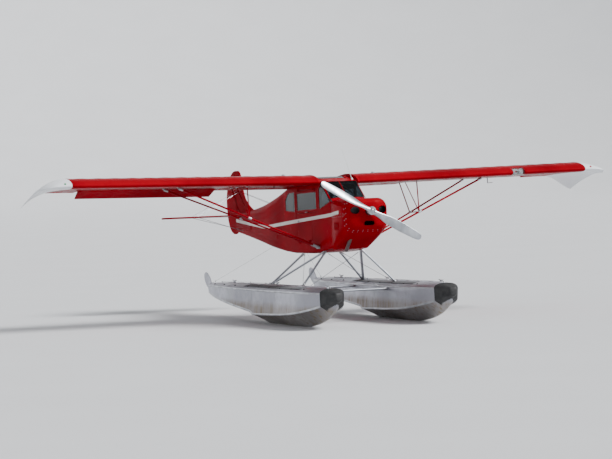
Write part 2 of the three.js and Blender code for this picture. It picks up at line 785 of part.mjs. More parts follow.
const frontStrutX = 330;
const rearStrutX = -1100;
const deckFittingY = 900;
const deckFittingZ = 650;
function buildFloatStruts(cabinSolid, hullRoom) {
  const frontTop = onAirframe(60, 330, 1262);
  const rearTop = onAirframe(-900, 330, 1250);
  const frontFoot = [frontStrutX, deckFittingY, deckFittingZ];
  const rearFoot = [rearStrutX, deckFittingY, deckFittingZ];
  const shoe = ([x, y, z]) => block([x - 90, y - 45, z - 30], [x + 90, y + 45, z + 34]);
  const struts = join(
    bar(frontTop, frontFoot, 72, 34),
    bar(rearTop, rearFoot, 72, 34),
    bar(frontTop, rearFoot, 62, 30),
    shoe(frontFoot),
    shoe(rearFoot),
  );
  return cut(struts, moved(cabinSolid, airframeMatrix), hullRoom);
}

function buildSpreaders(hullRoom) {
  const starboardRoom = mirrored(hullRoom);
  return [frontStrutX, rearStrutX].map((x) =>
    cut(bar([x, -floatY, 560], [x, floatY, 560], 92, 42), hullRoom, starboardRoom),
  );
}

// Mooring cleats stand on the crown of each deck.
const cleatPlaces = table(["u", "crown"], [
  [420, 695],
  [2650, 680],
  [4700, 655],
]);
function buildCleats() {
  const cleats = cleatPlaces.map(({ u, crown }) => {
    const x = floatBowX - u;
    return join(
      block([x - 60, floatY - 28, crown - 20], [x + 60, floatY + 28, crown + 8]),
      bar([x - 28, floatY, crown], [x - 28, floatY, crown + 48], 18, 18, 10),
      bar([x + 28, floatY, crown], [x + 28, floatY, crown + 48], 18, 18, 10),
      bar([x - 85, floatY, crown + 52], [x + 85, floatY, crown + 52], 20, 20, 10),
    );
  });
  return join(...cleats);
}

// A water rudder turns behind each stern, its blade swung up out of the water.
const sternFaceX = floatBowX - floatLength;
const waterHingeX = sternFaceX - 62;
const waterBlade = outline(
  [waterHingeX - 6, 470],
  [waterHingeX - 6, 600],
  [waterHingeX - 120, 640],
  [waterHingeX - 250, 820, waterHingeX - 420, 850, waterHingeX - 470, 760],
  [waterHingeX - 500, 640, waterHingeX - 330, 500, waterHingeX - 150, 480],
);
function buildWaterRudder() {
  const bracket = block([sternFaceX - 8, floatY - 45, 470], [sternFaceX - seat, floatY + 45, 612]);
  const post = bar([waterHingeX, floatY, 452], [waterHingeX, floatY, 628], 36, 36, 16);
  const blade = slab(waterBlade, 12, { standing: true, at: floatY });
  const hinges = [495, 585].map((z) => ({
    at: [waterHingeX, floatY, z], axis: [0, 0, 1], towards: [1, 0, 0], reach: 60, nose: 18, width: 24,
  }));
  return hinged(bracket, join(post, blade), hinges);
}

function buildExhaust(cowlRoom) {
  const pipe = bar([800, -150, 1500], [610, -190, 1235], 62, 62, 16);
  const bore = bar([640, -183.7, 1276.8], [600, -192.1, 1221], 54, 54, 16);
  return cut(pipe, bore, cowlRoom);
}

function buildAntenna(cabinSolid) {
  const foot = [-90, 300, 2470];
  const whip = bar(foot, [foot[0] - 400, foot[1], foot[2] + 590], 9, 9, 8);
  const base = bar(foot, [foot[0] - 18, foot[1], foot[2] + 45], 34, 34, 12);
  return cut(join(whip, base), cabinSolid);
}

// The finishes: colour, roughness and metalness.
const finishes = {
  redFabric: ["#b5161f", 0.35, 0],
  redPaint: ["#c3121f", 0.25, 0.1],
  whitePaint: ["#ecebe6", 0.3, 0],
  alloy: ["#a9abb4", 0.42, 0.85],
  darkAlloy: ["#5b5e66", 0.5, 0.7],
  blade: ["#d8dadd", 0.3, 0.6],
  rubber: ["#1b1b1d", 0.8, 0],
  glass: ["#bcd2da", 0.05, 0],
  panel: ["#26282b", 0.6, 0],
  upholstery: ["#6d6a66", 0.9, 0],
  steel: ["#77726c", 0.5, 0.8],
  iron: ["#4a4b4f", 0.6, 0.6],
};

const airframe = new THREE.Group();
airframe.applyMatrix4(airframeMatrix);
const gear = new THREE.Group();

function place(group, name, body, finish) {
  const [color, roughness, metalness] = finishes[finish];
  const material = new THREE.MeshStandardMaterial({ color, roughness, metalness });
  const mesh = new THREE.Mesh(geometryOf(body), material);
  mesh.name = name;
  group.add(mesh);
}

const cabinSolid = bodyLoft(cabinSections, seat);
const shell = buildCabin();
const upperDoor = hangDoor(shell.cabin, shell.upper, [-300, -1000], upperHingeZ, 1);
const lowerDoor = hangDoor(upperDoor.fixed, shell.lower, [-560, -1020], lowerHingeZ, -1);
const inside = buildInterior(shell.well);
place(airframe, "cabin_shell", lowerDoor.fixed, "redFabric");
place(airframe, "door_upper", upperDoor.moving, "redFabric");
place(airframe, "door_upper_glass", shell.upperGlass, "glass");
place(airframe, "door_lower", lowerDoor.moving, "redFabric");
place(airframe, "windscreen", shell.windscreen, "glass");
place(airframe, "side_window_left", shell.portGlass, "glass");
place(airframe, "rear_window_left", shell.portRearGlass, "glass");
place(airframe, "rear_window_right", shell.rearGlass, "glass");
place(airframe, "skylight", shell.skylight, "glass");
place(airframe, "cabin_floor", inside.floor, "panel");
place(airframe, "instrument_panel", inside.panel, "panel");
place(airframe, "seat_front", inside.seats[0], "upholstery");
place(airframe, "seat_rear", inside.seats[1], "upholstery");
place(airframe, "control_sticks", inside.sticks, "panel");

const cowl = buildCowl();
place(airframe, "cowl_nose", cowl.nose, "redPaint");
place(airframe, "cowl_top", cowl.top, "redPaint");
place(airframe, "cowl_bottom", cowl.bottom, "redPaint");
place(airframe, "engine", buildEngine(), "iron");
place(airframe, "exhaust_pipe", buildExhaust(bodyLoft(cowlSections, seat)), "steel");
place(airframe, "propeller", buildPropeller(), "blade");

const struts = buildLiftStruts(cabinSolid);
const sides = [
  { side: "left", wing: buildWing(true), turn: aileronRest, flip: (body) => body },
  { side: "right", wing: buildWing(false), turn: -aileronRest, flip: mirrored },
];
for (const { side, wing, turn, flip } of sides) {
  place(airframe, `wing_${side}`, flip(wing.wing), "redFabric");
  place(airframe, `wing_tip_${side}`, flip(wing.tip), "whitePaint");
  place(airframe, `flap_${side}`, flip(wing.flap), "redFabric");
  place(airframe, `aileron_${side}`, flip(restingAileron(wing.aileron, turn)), "redFabric");
  place(airframe, `lift_struts_${side}`, flip(struts), "redPaint");
}
place(airframe, "landing_light", sides[0].wing.light, "glass");
place(airframe, "antenna", buildAntenna(cabinSolid), "whitePaint");

const tail = buildTail();
place(airframe, "rear_fuselage", tail.fuselage, "redFabric");
place(airframe, "fin", tail.fin, "redFabric");
place(airframe, "rudder", tail.rudder, "redFabric");
const stabiliser = join(tail.stabiliser, buildStays(tail.solids));
place(airframe, "stabiliser_left", stabiliser, "redFabric");
place(airframe, "stabiliser_right", mirrored(stabiliser), "redFabric");
place(airframe, "elevators", tail.elevator, "redFabric");

const hull = floatLoft();
const hullRoom = floatLoft(seat);
const bumper = buildBumper(hullRoom);
const floatStruts = buildFloatStruts(cabinSolid, hullRoom);
const hullWithCleats = join(hull, buildCleats());
const waterRudder = buildWaterRudder();
const gearSides = [
  { side: "left", flip: (body) => body },
  { side: "right", flip: mirrored },
];
for (const { side, flip } of gearSides) {
  place(gear, `float_${side}`, flip(hullWithCleats), "alloy");
  place(gear, `bow_bumper_${side}`, flip(bumper), "rubber");
  place(gear, `float_struts_${side}`, flip(floatStruts), "alloy");
  place(gear, `water_rudder_bracket_${side}`, flip(waterRudder.fixed), "darkAlloy");
  place(gear, `water_rudder_${side}`, flip(waterRudder.moving), "darkAlloy");
}
const [frontSpreader, rearSpreader] = buildSpreaders(hullRoom);
place(gear, "spreader_bar_front", frontSpreader, "alloy");
place(gear, "spreader_bar_rear", rearSpreader, "alloy");

const floatplane = new THREE.Group();
floatplane.add(airframe, gear);

// The origin is below the middle of the whole length.
const reach = new THREE.Box3().setFromObject(floatplane);
floatplane.position.x = -(reach.min.x + reach.max.x) / 2;

export default floatplane;
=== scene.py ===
import math

import bmesh
import bpy
import numpy as np
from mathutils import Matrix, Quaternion, Vector


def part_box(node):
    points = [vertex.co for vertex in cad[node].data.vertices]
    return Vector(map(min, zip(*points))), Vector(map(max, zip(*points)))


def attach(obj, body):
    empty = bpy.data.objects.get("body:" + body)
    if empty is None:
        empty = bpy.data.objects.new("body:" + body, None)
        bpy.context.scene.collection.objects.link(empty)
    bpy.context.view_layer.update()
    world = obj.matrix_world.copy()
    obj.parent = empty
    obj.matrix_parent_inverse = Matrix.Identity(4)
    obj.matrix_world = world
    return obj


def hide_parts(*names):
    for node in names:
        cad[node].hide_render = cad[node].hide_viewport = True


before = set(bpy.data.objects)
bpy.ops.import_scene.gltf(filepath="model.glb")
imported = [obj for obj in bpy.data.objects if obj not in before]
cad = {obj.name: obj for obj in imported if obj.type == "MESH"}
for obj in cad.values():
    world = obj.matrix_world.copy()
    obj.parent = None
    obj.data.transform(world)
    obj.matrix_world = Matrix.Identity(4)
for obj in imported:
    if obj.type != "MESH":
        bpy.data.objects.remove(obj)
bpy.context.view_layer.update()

# The airframe is drawn nose level with x = 0 at the wing's leading edge, then pitched and moved into the part's frame.
airframe = {"leadingEdge": 2.46, "pitch": math.radians(2.5), "shift": 1.578426}


# Turns points about the leading edge by the parking pitch, then slides them along x.
def onAirframe(points):
    p = np.asarray(points, float)
    c, s = math.cos(airframe["pitch"]), math.sin(airframe["pitch"])
    x, z = p[..., 0], p[..., 2] - airframe["leadingEdge"]
    return columns(x * c - z * s + airframe["shift"], p[..., 1], airframe["leadingEdge"] + x * s + z * c)


def onFloats(points):
    return np.array(points, float) + [airframe["shift"], 0, 0]


def asGiven(points):
    return np.asarray(points, float)


# Points from their coordinates, each a number or an array.
def columns(*parts):
    return np.stack(np.broadcast_arrays(*parts), -1)


def straight(a, b, count):
    return a + (b - a) * np.linspace(0, 1, count)[:, None]


# The two sides of the aeroplane, each with the sign of y.
sides = (("left", 1), ("right", -1))


# A surface through rings of as many points each; the rings' order is one parameter, the place round a ring the other.
def skin(rings, caps=(True, True)):
    rings = np.asarray(rings, float)
    n, m = rings.shape[:2]
    r, c = np.meshgrid(np.arange(n - 1), np.arange(m), indexing="ij")
    d = (c + 1) % m
    faces = columns(r * m + c, r * m + d, (r + 1) * m + d, (r + 1) * m + c).reshape(-1, 4).tolist()
    if caps[0]:
        faces.append(list(range(m))[::-1])
    if caps[1]:
        faces.append([(n - 1) * m + i for i in range(m)])
    return rings.reshape(-1, 3), faces


# Several surfaces as one mesh.
def together(parts):
    points, faces, start = [], [], 0
    for p, f in parts:
        points.append(np.asarray(p, float))
        faces += [[i + start for i in face] for face in f]
        start += len(p)
    return np.concatenate(points), faces


# The same surface on the other side of the centre plane.
def flipped(part):
    points, faces = part
    return points * np.array([1, -1, 1]), [face[::-1] for face in faces]


def placed(part, where):
    return where(part[0]), part[1]


def unit(v):
    v = np.asarray(v, float)
    return v / np.maximum(np.linalg.norm(v, axis=-1, keepdims=True), 1e-12)


# A profile of (across, up) points carried along a path; 'up' leans towards the guide direction.
def sweep(path, profile, guide=(0, 0, 1), scale=None, close=False):
    path = np.asarray(path, float)
    if close:
        along = unit(np.roll(path, -1, 0) - np.roll(path, 1, 0))
    else:
        along = unit(np.gradient(path, axis=0))
    across = unit(np.cross(along, np.asarray(guide, float)))
    up = np.cross(across, along)
    size = np.ones(len(path)) if scale is None else np.asarray(scale, float)
    p = np.asarray(profile, float)
    rings = path[:, None] + size[:, None, None] * (across[:, None] * p[None, :, :1] + up[:, None] * p[None, :, 1:])
    if close:
        rings = np.concatenate([rings, rings[:1]])
        return skin(rings, caps=(False, False))
    return skin(rings)


def circle(radius, sides=12, flat=1.0):
    a = np.linspace(0, 2 * np.pi, sides, endpoint=False)
    return columns(radius * np.cos(a), radius * flat * np.sin(a))


def tube(path, radius, sides=12, guide=(0, 0, 1), **more):
    return sweep(path, circle(radius, sides), guide, **more)


def rod(a, b, radius, sides=12):
    a, b = np.asarray(a, float), np.asarray(b, float)
    along = unit(b - a)
    guide = (1, 0, 0) if abs(along[2]) > 0.9 else (0, 0, 1)
    return tube(np.stack([a, b]), radius, sides, guide)


# A profile of (radius, height) pairs spun about an axis; the first and last radius may be 0, where the rings close.
def turned(profile, centre, axis, sides):
    axis = unit(axis)
    across = unit(np.cross(axis, (0.3, 0.2, 0.9)))
    up = np.cross(axis, across)
    a = np.linspace(0, 2 * np.pi, sides, endpoint=False)
    spoke = np.cos(a)[:, None] * across + np.sin(a)[:, None] * up
    p = np.asarray(profile, float)
    rings = np.asarray(centre, float) + p[:, None, 1:] * axis + p[:, None, :1] * spoke[None]
    return skin(rings)


def brick(low, high):
    low, high = np.asarray(low, float), np.asarray(high, float)
    corners = np.array([[x, y, z] for x in (0, 1) for y in (0, 1) for z in (0, 1)], float)
    faces = [[0, 1, 3, 2], [4, 6, 7, 5], [0, 4, 5, 1], [2, 3, 7, 6], [0, 2, 6, 4], [1, 5, 7, 3]]
    return low + corners * (high - low), faces


# Low round heads standing on a surface: a rim, a shoulder and a top for each.
def domes(points, normals, radius, height=0.4, sides=8):
    points, normals = np.asarray(points, float).reshape(-1, 3), unit(np.asarray(normals, float).reshape(-1, 3))
    guide = np.where(np.abs(normals[:, :1]) > 0.9, [[0.0, 1.0, 0.0]], [[1.0, 0.0, 0.0]])
    across = unit(np.cross(normals, guide))
    up = np.cross(normals, across)
    a = np.linspace(0, 2 * np.pi, sides, endpoint=False)
    spoke = np.cos(a)[None, :, None] * across[:, None] + np.sin(a)[None, :, None] * up[:, None]
    rows = [(1.0, -0.25), (1.0, 0.12), (0.72, 0.75), (0.3, 1.0)]
    rings = np.stack([points[:, None] + radius * r * spoke + radius * height * h * normals[:, None]
                      for r, h in rows], 1)
    count = len(points)
    base = (np.arange(count) * len(rows) * sides)[:, None, None]
    r, c = np.meshgrid(np.arange(len(rows) - 1), np.arange(sides), indexing="ij")
    d = (c + 1) % sides
    quads = columns(r * sides + c, r * sides + d, (r + 1) * sides + d, (r + 1) * sides + c).reshape(1, -1, 4)
    faces = (base + quads).reshape(-1, 4).tolist()
    tops = (base[:, 0] + (len(rows) - 1) * sides + np.arange(sides)[None]).tolist()
    bottoms = (base[:, 0] + np.arange(sides)[None, ::-1]).tolist()
    return rings.reshape(-1, 3), faces + tops + bottoms


def inScene(name, data):
    holder = bpy.data.objects.new(name, data)
    bpy.context.scene.collection.objects.link(holder)
    return holder


# A mesh of these points and faces.
def rawMesh(name, part):
    mesh = bpy.data.meshes.new(name)
    mesh.from_pydata(np.asarray(part[0]).tolist(), [], part[1])
    return mesh


# Merges the points that coincide and turns the faces outwards.
def cleaned(mesh):
    shell = bmesh.new()
    shell.from_mesh(mesh)
    bmesh.ops.remove_doubles(shell, verts=shell.verts, dist=1e-6)
    bmesh.ops.recalc_face_normals(shell, faces=shell.faces)
    shell.to_mesh(mesh)
    shell.free()


# The mesh as an object at the origin: smooth between sharp edges, its edges eased, riding on its body.
def finished(name, mesh, material, body, sharp, bevel, stands):
    mesh.shade_smooth()
    mesh.set_sharp_from_angle(angle=math.radians(sharp))
    mesh.materials.clear()
    mesh.materials.append(material)
    piece = inScene(name, mesh)
    if bevel:
        edge = piece.modifiers.new("edge", "BEVEL")
        edge.width, edge.segments, edge.limit_method = bevel, 2, "ANGLE"
        edge.angle_limit = math.radians(40)
    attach(piece, body)
    if stands:
        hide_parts(*stands)
    return piece


# A piece from a surface or a list of surfaces, drawn where 'where' places it, or on the other side of the centre plane.
def makePiece(name, part, material, body="airframe", sharp=32, uv=None, bevel=None, stands=(),
              where=onAirframe, flip=False):
    part = together(part) if isinstance(part, list) else part
    part = placed(part, where)
    mesh = rawMesh(name, flipped(part) if flip else part)
    if uv is not None:
        layer = mesh.uv_layers.new(name="skin")
        corner = np.zeros(len(mesh.loops), np.int32)
        mesh.loops.foreach_get("vertex_index", corner)
        layer.data.foreach_set("uv", np.asarray(uv, np.float32).reshape(-1, 2)[corner].ravel())
    cleaned(mesh)
    return finished(name, mesh, material, body, sharp, bevel, stands)


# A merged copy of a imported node, with its flat faces joined and its edges eased, that stands for it.
def dressNode(node, material, body="airframe", bevel=None):
    shell = bmesh.new()
    shell.from_mesh(cad[node].data)
    bmesh.ops.remove_doubles(shell, verts=shell.verts, dist=2e-5)
    bmesh.ops.dissolve_limit(shell, angle_limit=math.radians(0.4), verts=shell.verts, edges=shell.edges)
    mesh = bpy.data.meshes.new(node + "_dressed")
    shell.to_mesh(mesh)
    shell.free()
    return finished(node + "_dressed", mesh, material, body, 36, bevel, (node,))


# The mesh of a piece with its modifiers applied.
def asShown(piece):
    return bpy.data.meshes.new_from_object(piece.evaluated_get(bpy.context.evaluated_depsgraph_get()))


def meshArray(mesh, field="co"):
    values = np.zeros(len(mesh.vertices) * 3)
    mesh.vertices.foreach_get(field, values)
    return values.reshape(-1, 3)


# The distance along a line at each of its points, and the places at some distances.
def lineLengths(points):
    return np.concatenate([[0], np.cumsum(np.linalg.norm(np.diff(points, axis=0), axis=1))])


def atLengths(points, wanted):
    lengths = lineLengths(points)
    return np.stack([np.interp(wanted, lengths, points[:, k]) for k in range(points.shape[1])], -1)


def paint(node, material):
    cad[node].data.materials.clear()
    cad[node].data.materials.append(material)


# An sRGB hex value as linear red, green, blue and alpha.
def linear(hexColour):
    raw = [int(hexColour[i:i + 2], 16) / 255 for i in (1, 3, 5)]
    return tuple(c / 12.92 if c <= 0.04045 else ((c + 0.055) / 1.055) ** 2.4 for c in raw) + (1.0,)


# Adds a node, with its settings, and its inputs as values or as the sockets that feed them.
def addNode(tree, kind, feeds=None, **settings):
    node = tree.nodes.new("ShaderNode" + kind)
    for key, value in settings.items():
        setattr(node, key, value)
    for socket, value in (feeds or {}).items():
        if isinstance(value, bpy.types.NodeSocket):
            tree.links.new(value, node.inputs[socket])
        else:
            node.inputs[socket].default_value = value
    return node


# A new material whose shader has these constants; gives the material, its tree, its shader and Object coordinates.
def startMaterial(name, **sockets):
    material = bpy.data.materials.new(name)
    material.use_nodes = True
    tree = material.node_tree
    shader = tree.nodes["Principled BSDF"]
    for socket, value in sockets.items():
        shader.inputs[socket.replace("_", " ")].default_value = value
    return material, tree, shader, addNode(tree, "TexCoord").outputs["Object"]


def sums(tree, operation, a, b=0.0):
    return addNode(tree, "Math", {0: a, 1: b}, operation=operation).outputs[0]


# Noise whose features are about 1/scale metres across, longer where stretch is small.
def noise(tree, coords, scale, detail=3.0, stretch=(1, 1, 1), rough=0.5):
    spot = addNode(tree, "Mapping", {"Vector": coords, "Scale": stretch}).outputs[0]
    return addNode(tree, "TexNoise", {"Vector": spot, "Scale": scale, "Detail": detail,
        "Roughness": rough}).outputs["Fac"]


def mixed(tree, factor, a, b):
    return addNode(tree, "Mix", {"Factor": factor, 6: a, 7: b}, data_type="RGBA").outputs[2]


def ramped(tree, value, low, high, toLow=0.0, toHigh=1.0):
    return addNode(tree, "MapRange", {"Value": value, "From Min": low, "From Max": high, "To Min": toLow,
        "To Max": toHigh}).outputs[0]


def bumped(tree, shader, height, distance, strength=1.0):
    node = addNode(tree, "Bump", {"Height": height, "Distance": distance, "Strength": strength})
    tree.links.new(node.outputs[0], shader.inputs["Normal"])


# Feeds the shader's colour and roughness.
def feed(tree, shader, colour, rough):
    tree.links.new(colour, shader.inputs["Base Color"])
    tree.links.new(rough, shader.inputs["Roughness"])


# Two sets of threads across each other, as the two waves to be combined.
def threads(tree, coords, scale, distortion, directions):
    feeds = {"Vector": coords, "Scale": scale, "Distortion": distortion}
    return [addNode(tree, "TexWave", feeds, bands_direction=way).outputs["Fac"] for way in directions]


# The body is a rounded box whose half width, floor, roof and two corner radii change along it.
cabin = {
    "x": [0.4, 0.0, -0.45, -1.3, -1.75],
    "rows": [(0.345, 1.27, 2.12, 0.06, 0.07), (0.36, 1.235, 2.47, 0.045, 0.032), (0.36, 1.22, 2.57, 0.045, 0.032),
             (0.36, 1.245, 2.505, 0.045, 0.032), (0.345, 1.285, 2.4, 0.045, 0.11)],
}

# The side stripe's middle line, (x, z) on the unpitched airframe, from the cowl to the tail post.
stripe = {"line": [(1.16, 1.92), (0.154, 1.862), (-1.387, 1.804), (-2.836, 1.753), (-4.552, 1.90), (-4.92, 1.935)],
    "half": 0.03}


# A broken line z(x) as a socket, one ramp for each stretch added up; its points run from ahead to aft.
def brokenLine(tree, x, points):
    height = float(points[0][1])
    for (x0, z0), (x1, z1) in zip(points[:-1], points[1:]):
        height = sums(tree, "ADD", ramped(tree, x, x1, x0, z1 - z0, 0.0), height)
    return height


# 1 inside the stripe, 0 outside: the distance in z from a broken line in x, kept to the stripe's half width.
def stripeMask(tree, coords):
    xyz = addNode(tree, "SeparateXYZ", {"Vector": coords})
    line = onAirframe([(x, 0, z) for x, z in stripe["line"]])[:, [0, 2]]
    away = sums(tree, "ABSOLUTE", sums(tree, "SUBTRACT", xyz.outputs["Z"], brokenLine(tree, xyz.outputs["X"], line)))
    side = ramped(tree, away, stripe["half"] - 0.001, stripe["half"] + 0.001, 1.0, 0.0)
    front = ramped(tree, xyz.outputs["X"], line[0][0] - 0.30, line[0][0] - 0.299, 1.0, 0.0)
    return sums(tree, "MULTIPLY", side, front)


# 1 on the inner faces of the cabin's walls, roof and floor, 0 on its outer skin, told apart half way through the wall.
def liningMask(tree, coords):
    wall = 0.024
    xyz = addNode(tree, "SeparateXYZ", {"Vector": coords})
    x, z = xyz.outputs["X"], xyz.outputs["Z"]
    half, floor, roof = ([(at, row[k]) for at, row in zip(cabin["x"], cabin["rows"])] for k in range(3))
    width = brokenLine(tree, x, [(onAirframe((at, 0, 2.0))[0], h - wall / 2) for at, h in half])
    top = brokenLine(tree, x, onAirframe([(at, 0, h - wall / 2) for at, h in roof])[:, [0, 2]])
    bottom = brokenLine(tree, x, onAirframe([(at, 0, h + wall / 2) for at, h in floor])[:, [0, 2]])
    within = sums(tree, "LESS_THAN", sums(tree, "ABSOLUTE", xyz.outputs["Y"]), width)
    under = sums(tree, "MULTIPLY", sums(tree, "LESS_THAN", z, top), sums(tree, "GREATER_THAN", z, bottom))
    aft = sums(tree, "LESS_THAN", x, float(onAirframe((cabin["x"][0] - wall / 2, 0, 1.8))[0]))
    return sums(tree, "MULTIPLY", sums(tree, "MULTIPLY", within, under), aft)


# 1 inside a triangle of (x, z) corners given clockwise as seen from the right side, 0 outside.
def flashMask(tree, coords, corners):
    xyz = addNode(tree, "SeparateXYZ", {"Vector": coords})
    corners = onAirframe([(x, 0, z) for x, z in corners])[:, [0, 2]]
    mask = 1.0
    for (x0, z0), (x1, z1) in zip(corners, np.roll(corners, -1, 0)):
        slope = sums(tree, "MULTIPLY", sums(tree, "SUBTRACT", xyz.outputs["X"], float(x0)), float(z1 - z0))
        rise = sums(tree, "MULTIPLY", sums(tree, "SUBTRACT", xyz.outputs["Z"], float(z0)), float(x1 - x0))
        mask = sums(tree, "MULTIPLY", sums(tree, "GREATER_THAN", slope, rise), mask)
    return mask


# Polyester cloth shrunk over the frame and painted: a faint weave, with a taped seam over each rib. Its reflection is
# kept very weak, because the pale studio would otherwise wash the red out at a low angle. The piece's UV counts ribs
# across and metres along.
def fabricFinish(name, colour, shade, striped=False, flash=None):
    material, tree, shader, coords = startMaterial(name, Specular_IOR_Level=0.008, IOR=1.3)
    weathering = noise(tree, coords, 1.1, 4)
    base = mixed(tree, ramped(tree, weathering, 0.35, 0.7), linear(colour), linear(shade))
    grime = noise(tree, coords, 6, 5, (1, 0.6, 1.6))
    if striped:
        base = mixed(tree, stripeMask(tree, coords), base, linear("#d9d7d2"))
    if flash:
        base = mixed(tree, flashMask(tree, coords, flash), base, linear("#e4e4e2"))
    base = mixed(tree, ramped(tree, grime, 0.62, 0.85, 0, 0.16), base, linear("#3b1414"))
    # Threads are 0.5 mm apart in the real cloth; 4 mm here, so that they show.
    cloth = sums(tree, "MULTIPLY", sums(tree, "ADD", *threads(tree, coords, 80.0, 0.6, "YX")), 0.04)
    skinMap = addNode(tree, "SeparateXYZ", {"Vector": addNode(tree, "UVMap", uv_map="skin").outputs[0]})
    fromRib = sums(tree, "PINGPONG", skinMap.outputs["X"], 0.5)
    tape = ramped(tree, fromRib, 0.080, 0.092, 1.0, 0.0)
    knot = sums(tree, "PINGPONG", skinMap.outputs["Y"], 0.032)
    seam = ramped(tree, fromRib, 0.012, 0.03, 1.0, 0.0)
    stitch = sums(tree, "MULTIPLY", seam, ramped(tree, knot, 0.022, 0.03, 0.0, 1.0))
    raised = sums(tree, "ADD", sums(tree, "MULTIPLY", tape, 0.55), sums(tree, "MULTIPLY", stitch, 0.8))
    cloth = sums(tree, "ADD", cloth, raised)
    base = mixed(tree, sums(tree, "MULTIPLY", tape, 0.10), base, linear(shade))
    feed(tree, shader, base, ramped(tree, noise(tree, coords, 9, 4), 0.3, 0.75, 0.16, 0.28))
    bumped(tree, shader, cloth, 0.0012)
    return material


# Aluminium sheet or steel tube in enamel with a little orange peel, scuffed in places. Its reflection is as weak as
# the cloth's.
def paintedMetal(name, colour, shade, striped=False, rough=(0.16, 0.3), metallic=0.0, lining=None):
    material, tree, shader, coords = startMaterial(name, Specular_IOR_Level=0.01, IOR=1.36, Metallic=metallic)
    base = mixed(tree, ramped(tree, noise(tree, coords, 1.4, 4), 0.35, 0.7), linear(colour), linear(shade))
    if striped:
        base = mixed(tree, stripeMask(tree, coords), base, linear("#d9d7d2"))
    scuff = ramped(tree, noise(tree, coords, 26, 6, (1, 1, 1), 0.62), 0.70, 0.78, 0, 0.5)
    base = mixed(tree, scuff, base, linear(shade))
    gloss = ramped(tree, noise(tree, coords, 7, 4), 0.3, 0.75, *rough)
    if lining:
        inside = liningMask(tree, coords)
        base = mixed(tree, inside, base, linear(lining))
        gloss = sums(tree, "ADD", gloss, sums(tree, "MULTIPLY", inside, 0.45))
    feed(tree, shader, base, gloss)
    # Orange peel is 2 mm across on the real paint; 8 mm here.
    peel = sums(tree, "ADD", sums(tree, "MULTIPLY", noise(tree, coords, 120, 1), 0.12), noise(tree, coords, 3.5, 2))
    bumped(tree, shader, peel, 0.0016)
    return material


# Riveted aluminium sheet, dulled by salt water, with a tan scum line where it floats.
def sheetAlloy(name, colour, stain, stained=True):
    material, tree, shader, coords = startMaterial(name, Metallic=0.82)
    plates = noise(tree, coords, 0.9, 2, (1, 0.3, 0.3))
    cloud = noise(tree, coords, 7, 6, (1, 1, 1), 0.6)
    base = mixed(tree, ramped(tree, plates, 0.4, 0.62), linear(colour), linear(stain[0]))
    base = mixed(tree, ramped(tree, cloud, 0.45, 0.8, 0, 0.5), base, linear(stain[0]))
    rough = ramped(tree, cloud, 0.3, 0.8, 0.30, 0.52)
    if stained:
        height = addNode(tree, "SeparateXYZ", {"Vector": coords}).outputs["Z"]
        ragged = sums(tree, "ADD", height, sums(tree, "MULTIPLY", noise(tree, coords, 5, 5, (0.5, 0.5, 1.5)), 0.10))
        wet = ramped(tree, ragged, 0.36, 0.47, 1.0, 0.0)
        drip = ramped(tree, noise(tree, coords, 15, 5, (1, 1, 0.08)), 0.5, 0.72)
        scum = sums(tree, "MULTIPLY", wet, ramped(tree, drip, 0, 1, 0.35, 0.85))
        base = mixed(tree, scum, base, linear(stain[1]))
        rough = sums(tree, "ADD", rough, sums(tree, "MULTIPLY", scum, 0.25))
        tree.links.new(ramped(tree, scum, 0, 1, 0.85, 0.35), shader.inputs["Metallic"])
    feed(tree, shader, base, rough)
    dents = sums(tree, "ADD", noise(tree, coords, 2.2, 2), sums(tree, "MULTIPLY", noise(tree, coords, 60, 3), 0.03))
    bumped(tree, shader, dents, 0.006, 0.6)
    return material


# A moulded, cast or drawn surface: two close tones in patches, uneven gloss and a fine grain, given in 1/metres.
def plainFinish(name, colour, shade, rough=(0.4, 0.6), metallic=0.0, grain=30.0, depth=0.0006, stretch=(1, 1, 1),
        **sockets):
    material, tree, shader, coords = startMaterial(name, Metallic=metallic, **sockets)
    patch = noise(tree, coords, grain * 0.2, 4, stretch)
    feed(tree, shader, mixed(tree, ramped(tree, patch, 0.35, 0.7), linear(colour), linear(shade)),
         ramped(tree, noise(tree, coords, grain, 4, stretch), 0.3, 0.75, *rough))
    bumped(tree, shader, noise(tree, coords, grain * 4, 3, stretch), depth)
    return material


redFabric = fabricFinish("painted polyester fabric, red", "#8f0416", "#760311")
redSides = fabricFinish("painted polyester fabric, red with stripe", "#8f0416", "#760311", striped=True)
whiteFabric = fabricFinish("painted polyester fabric, white", "#e9ebee", "#d3d7dc")
finFabric = fabricFinish("painted polyester fabric, red with a white flash", "#8f0416", "#760311",
    flash=[(-4.909, 2.426), (-4.537, 2.076), (-4.56, 2.412)])
redEnamel = paintedMetal("red enamel on aluminium", "#980417", "#7c0312", striped=True)
shellEnamel = paintedMetal("red enamel outside, grey vinyl lining inside", "#980417", "#7c0312", striped=True,
    lining="#3c3d41")
strutEnamel = paintedMetal("red enamel on steel tube", "#930417", "#720311")
greyEnamel = paintedMetal("silver lacquer on steel tube", "#a9adb5", "#8d9199", rough=(0.28, 0.42), metallic=0.55)
floatSheet = sheetAlloy("riveted aluminium sheet", "#b3b4bd", ("#8f9098", "#7d6a45"))
deckSheet = sheetAlloy("aluminium deck sheet", "#babac3", ("#9a9aa3", "#7d6a45"), stained=False)
castAlloy = plainFinish("cast aluminium", "#b9bbc0", "#8f9196", (0.3, 0.5), 0.9, 24, 0.0008)
polishedBlade = plainFinish("brushed forged aluminium", "#c9ccd1", "#a3a7ad", (0.30, 0.46), 1.0, 40, 0.0002,
    (1, 1, 0.2))
blackRubber = plainFinish("black neoprene rubber", "#151517", "#2a2a2b", (0.55, 0.85), 0.0, 14, 0.0015)
plainSteel = plainFinish("zinc plated steel", "#9d9fa3", "#74777c", (0.25, 0.45), 1.0, 60, 0.0002)
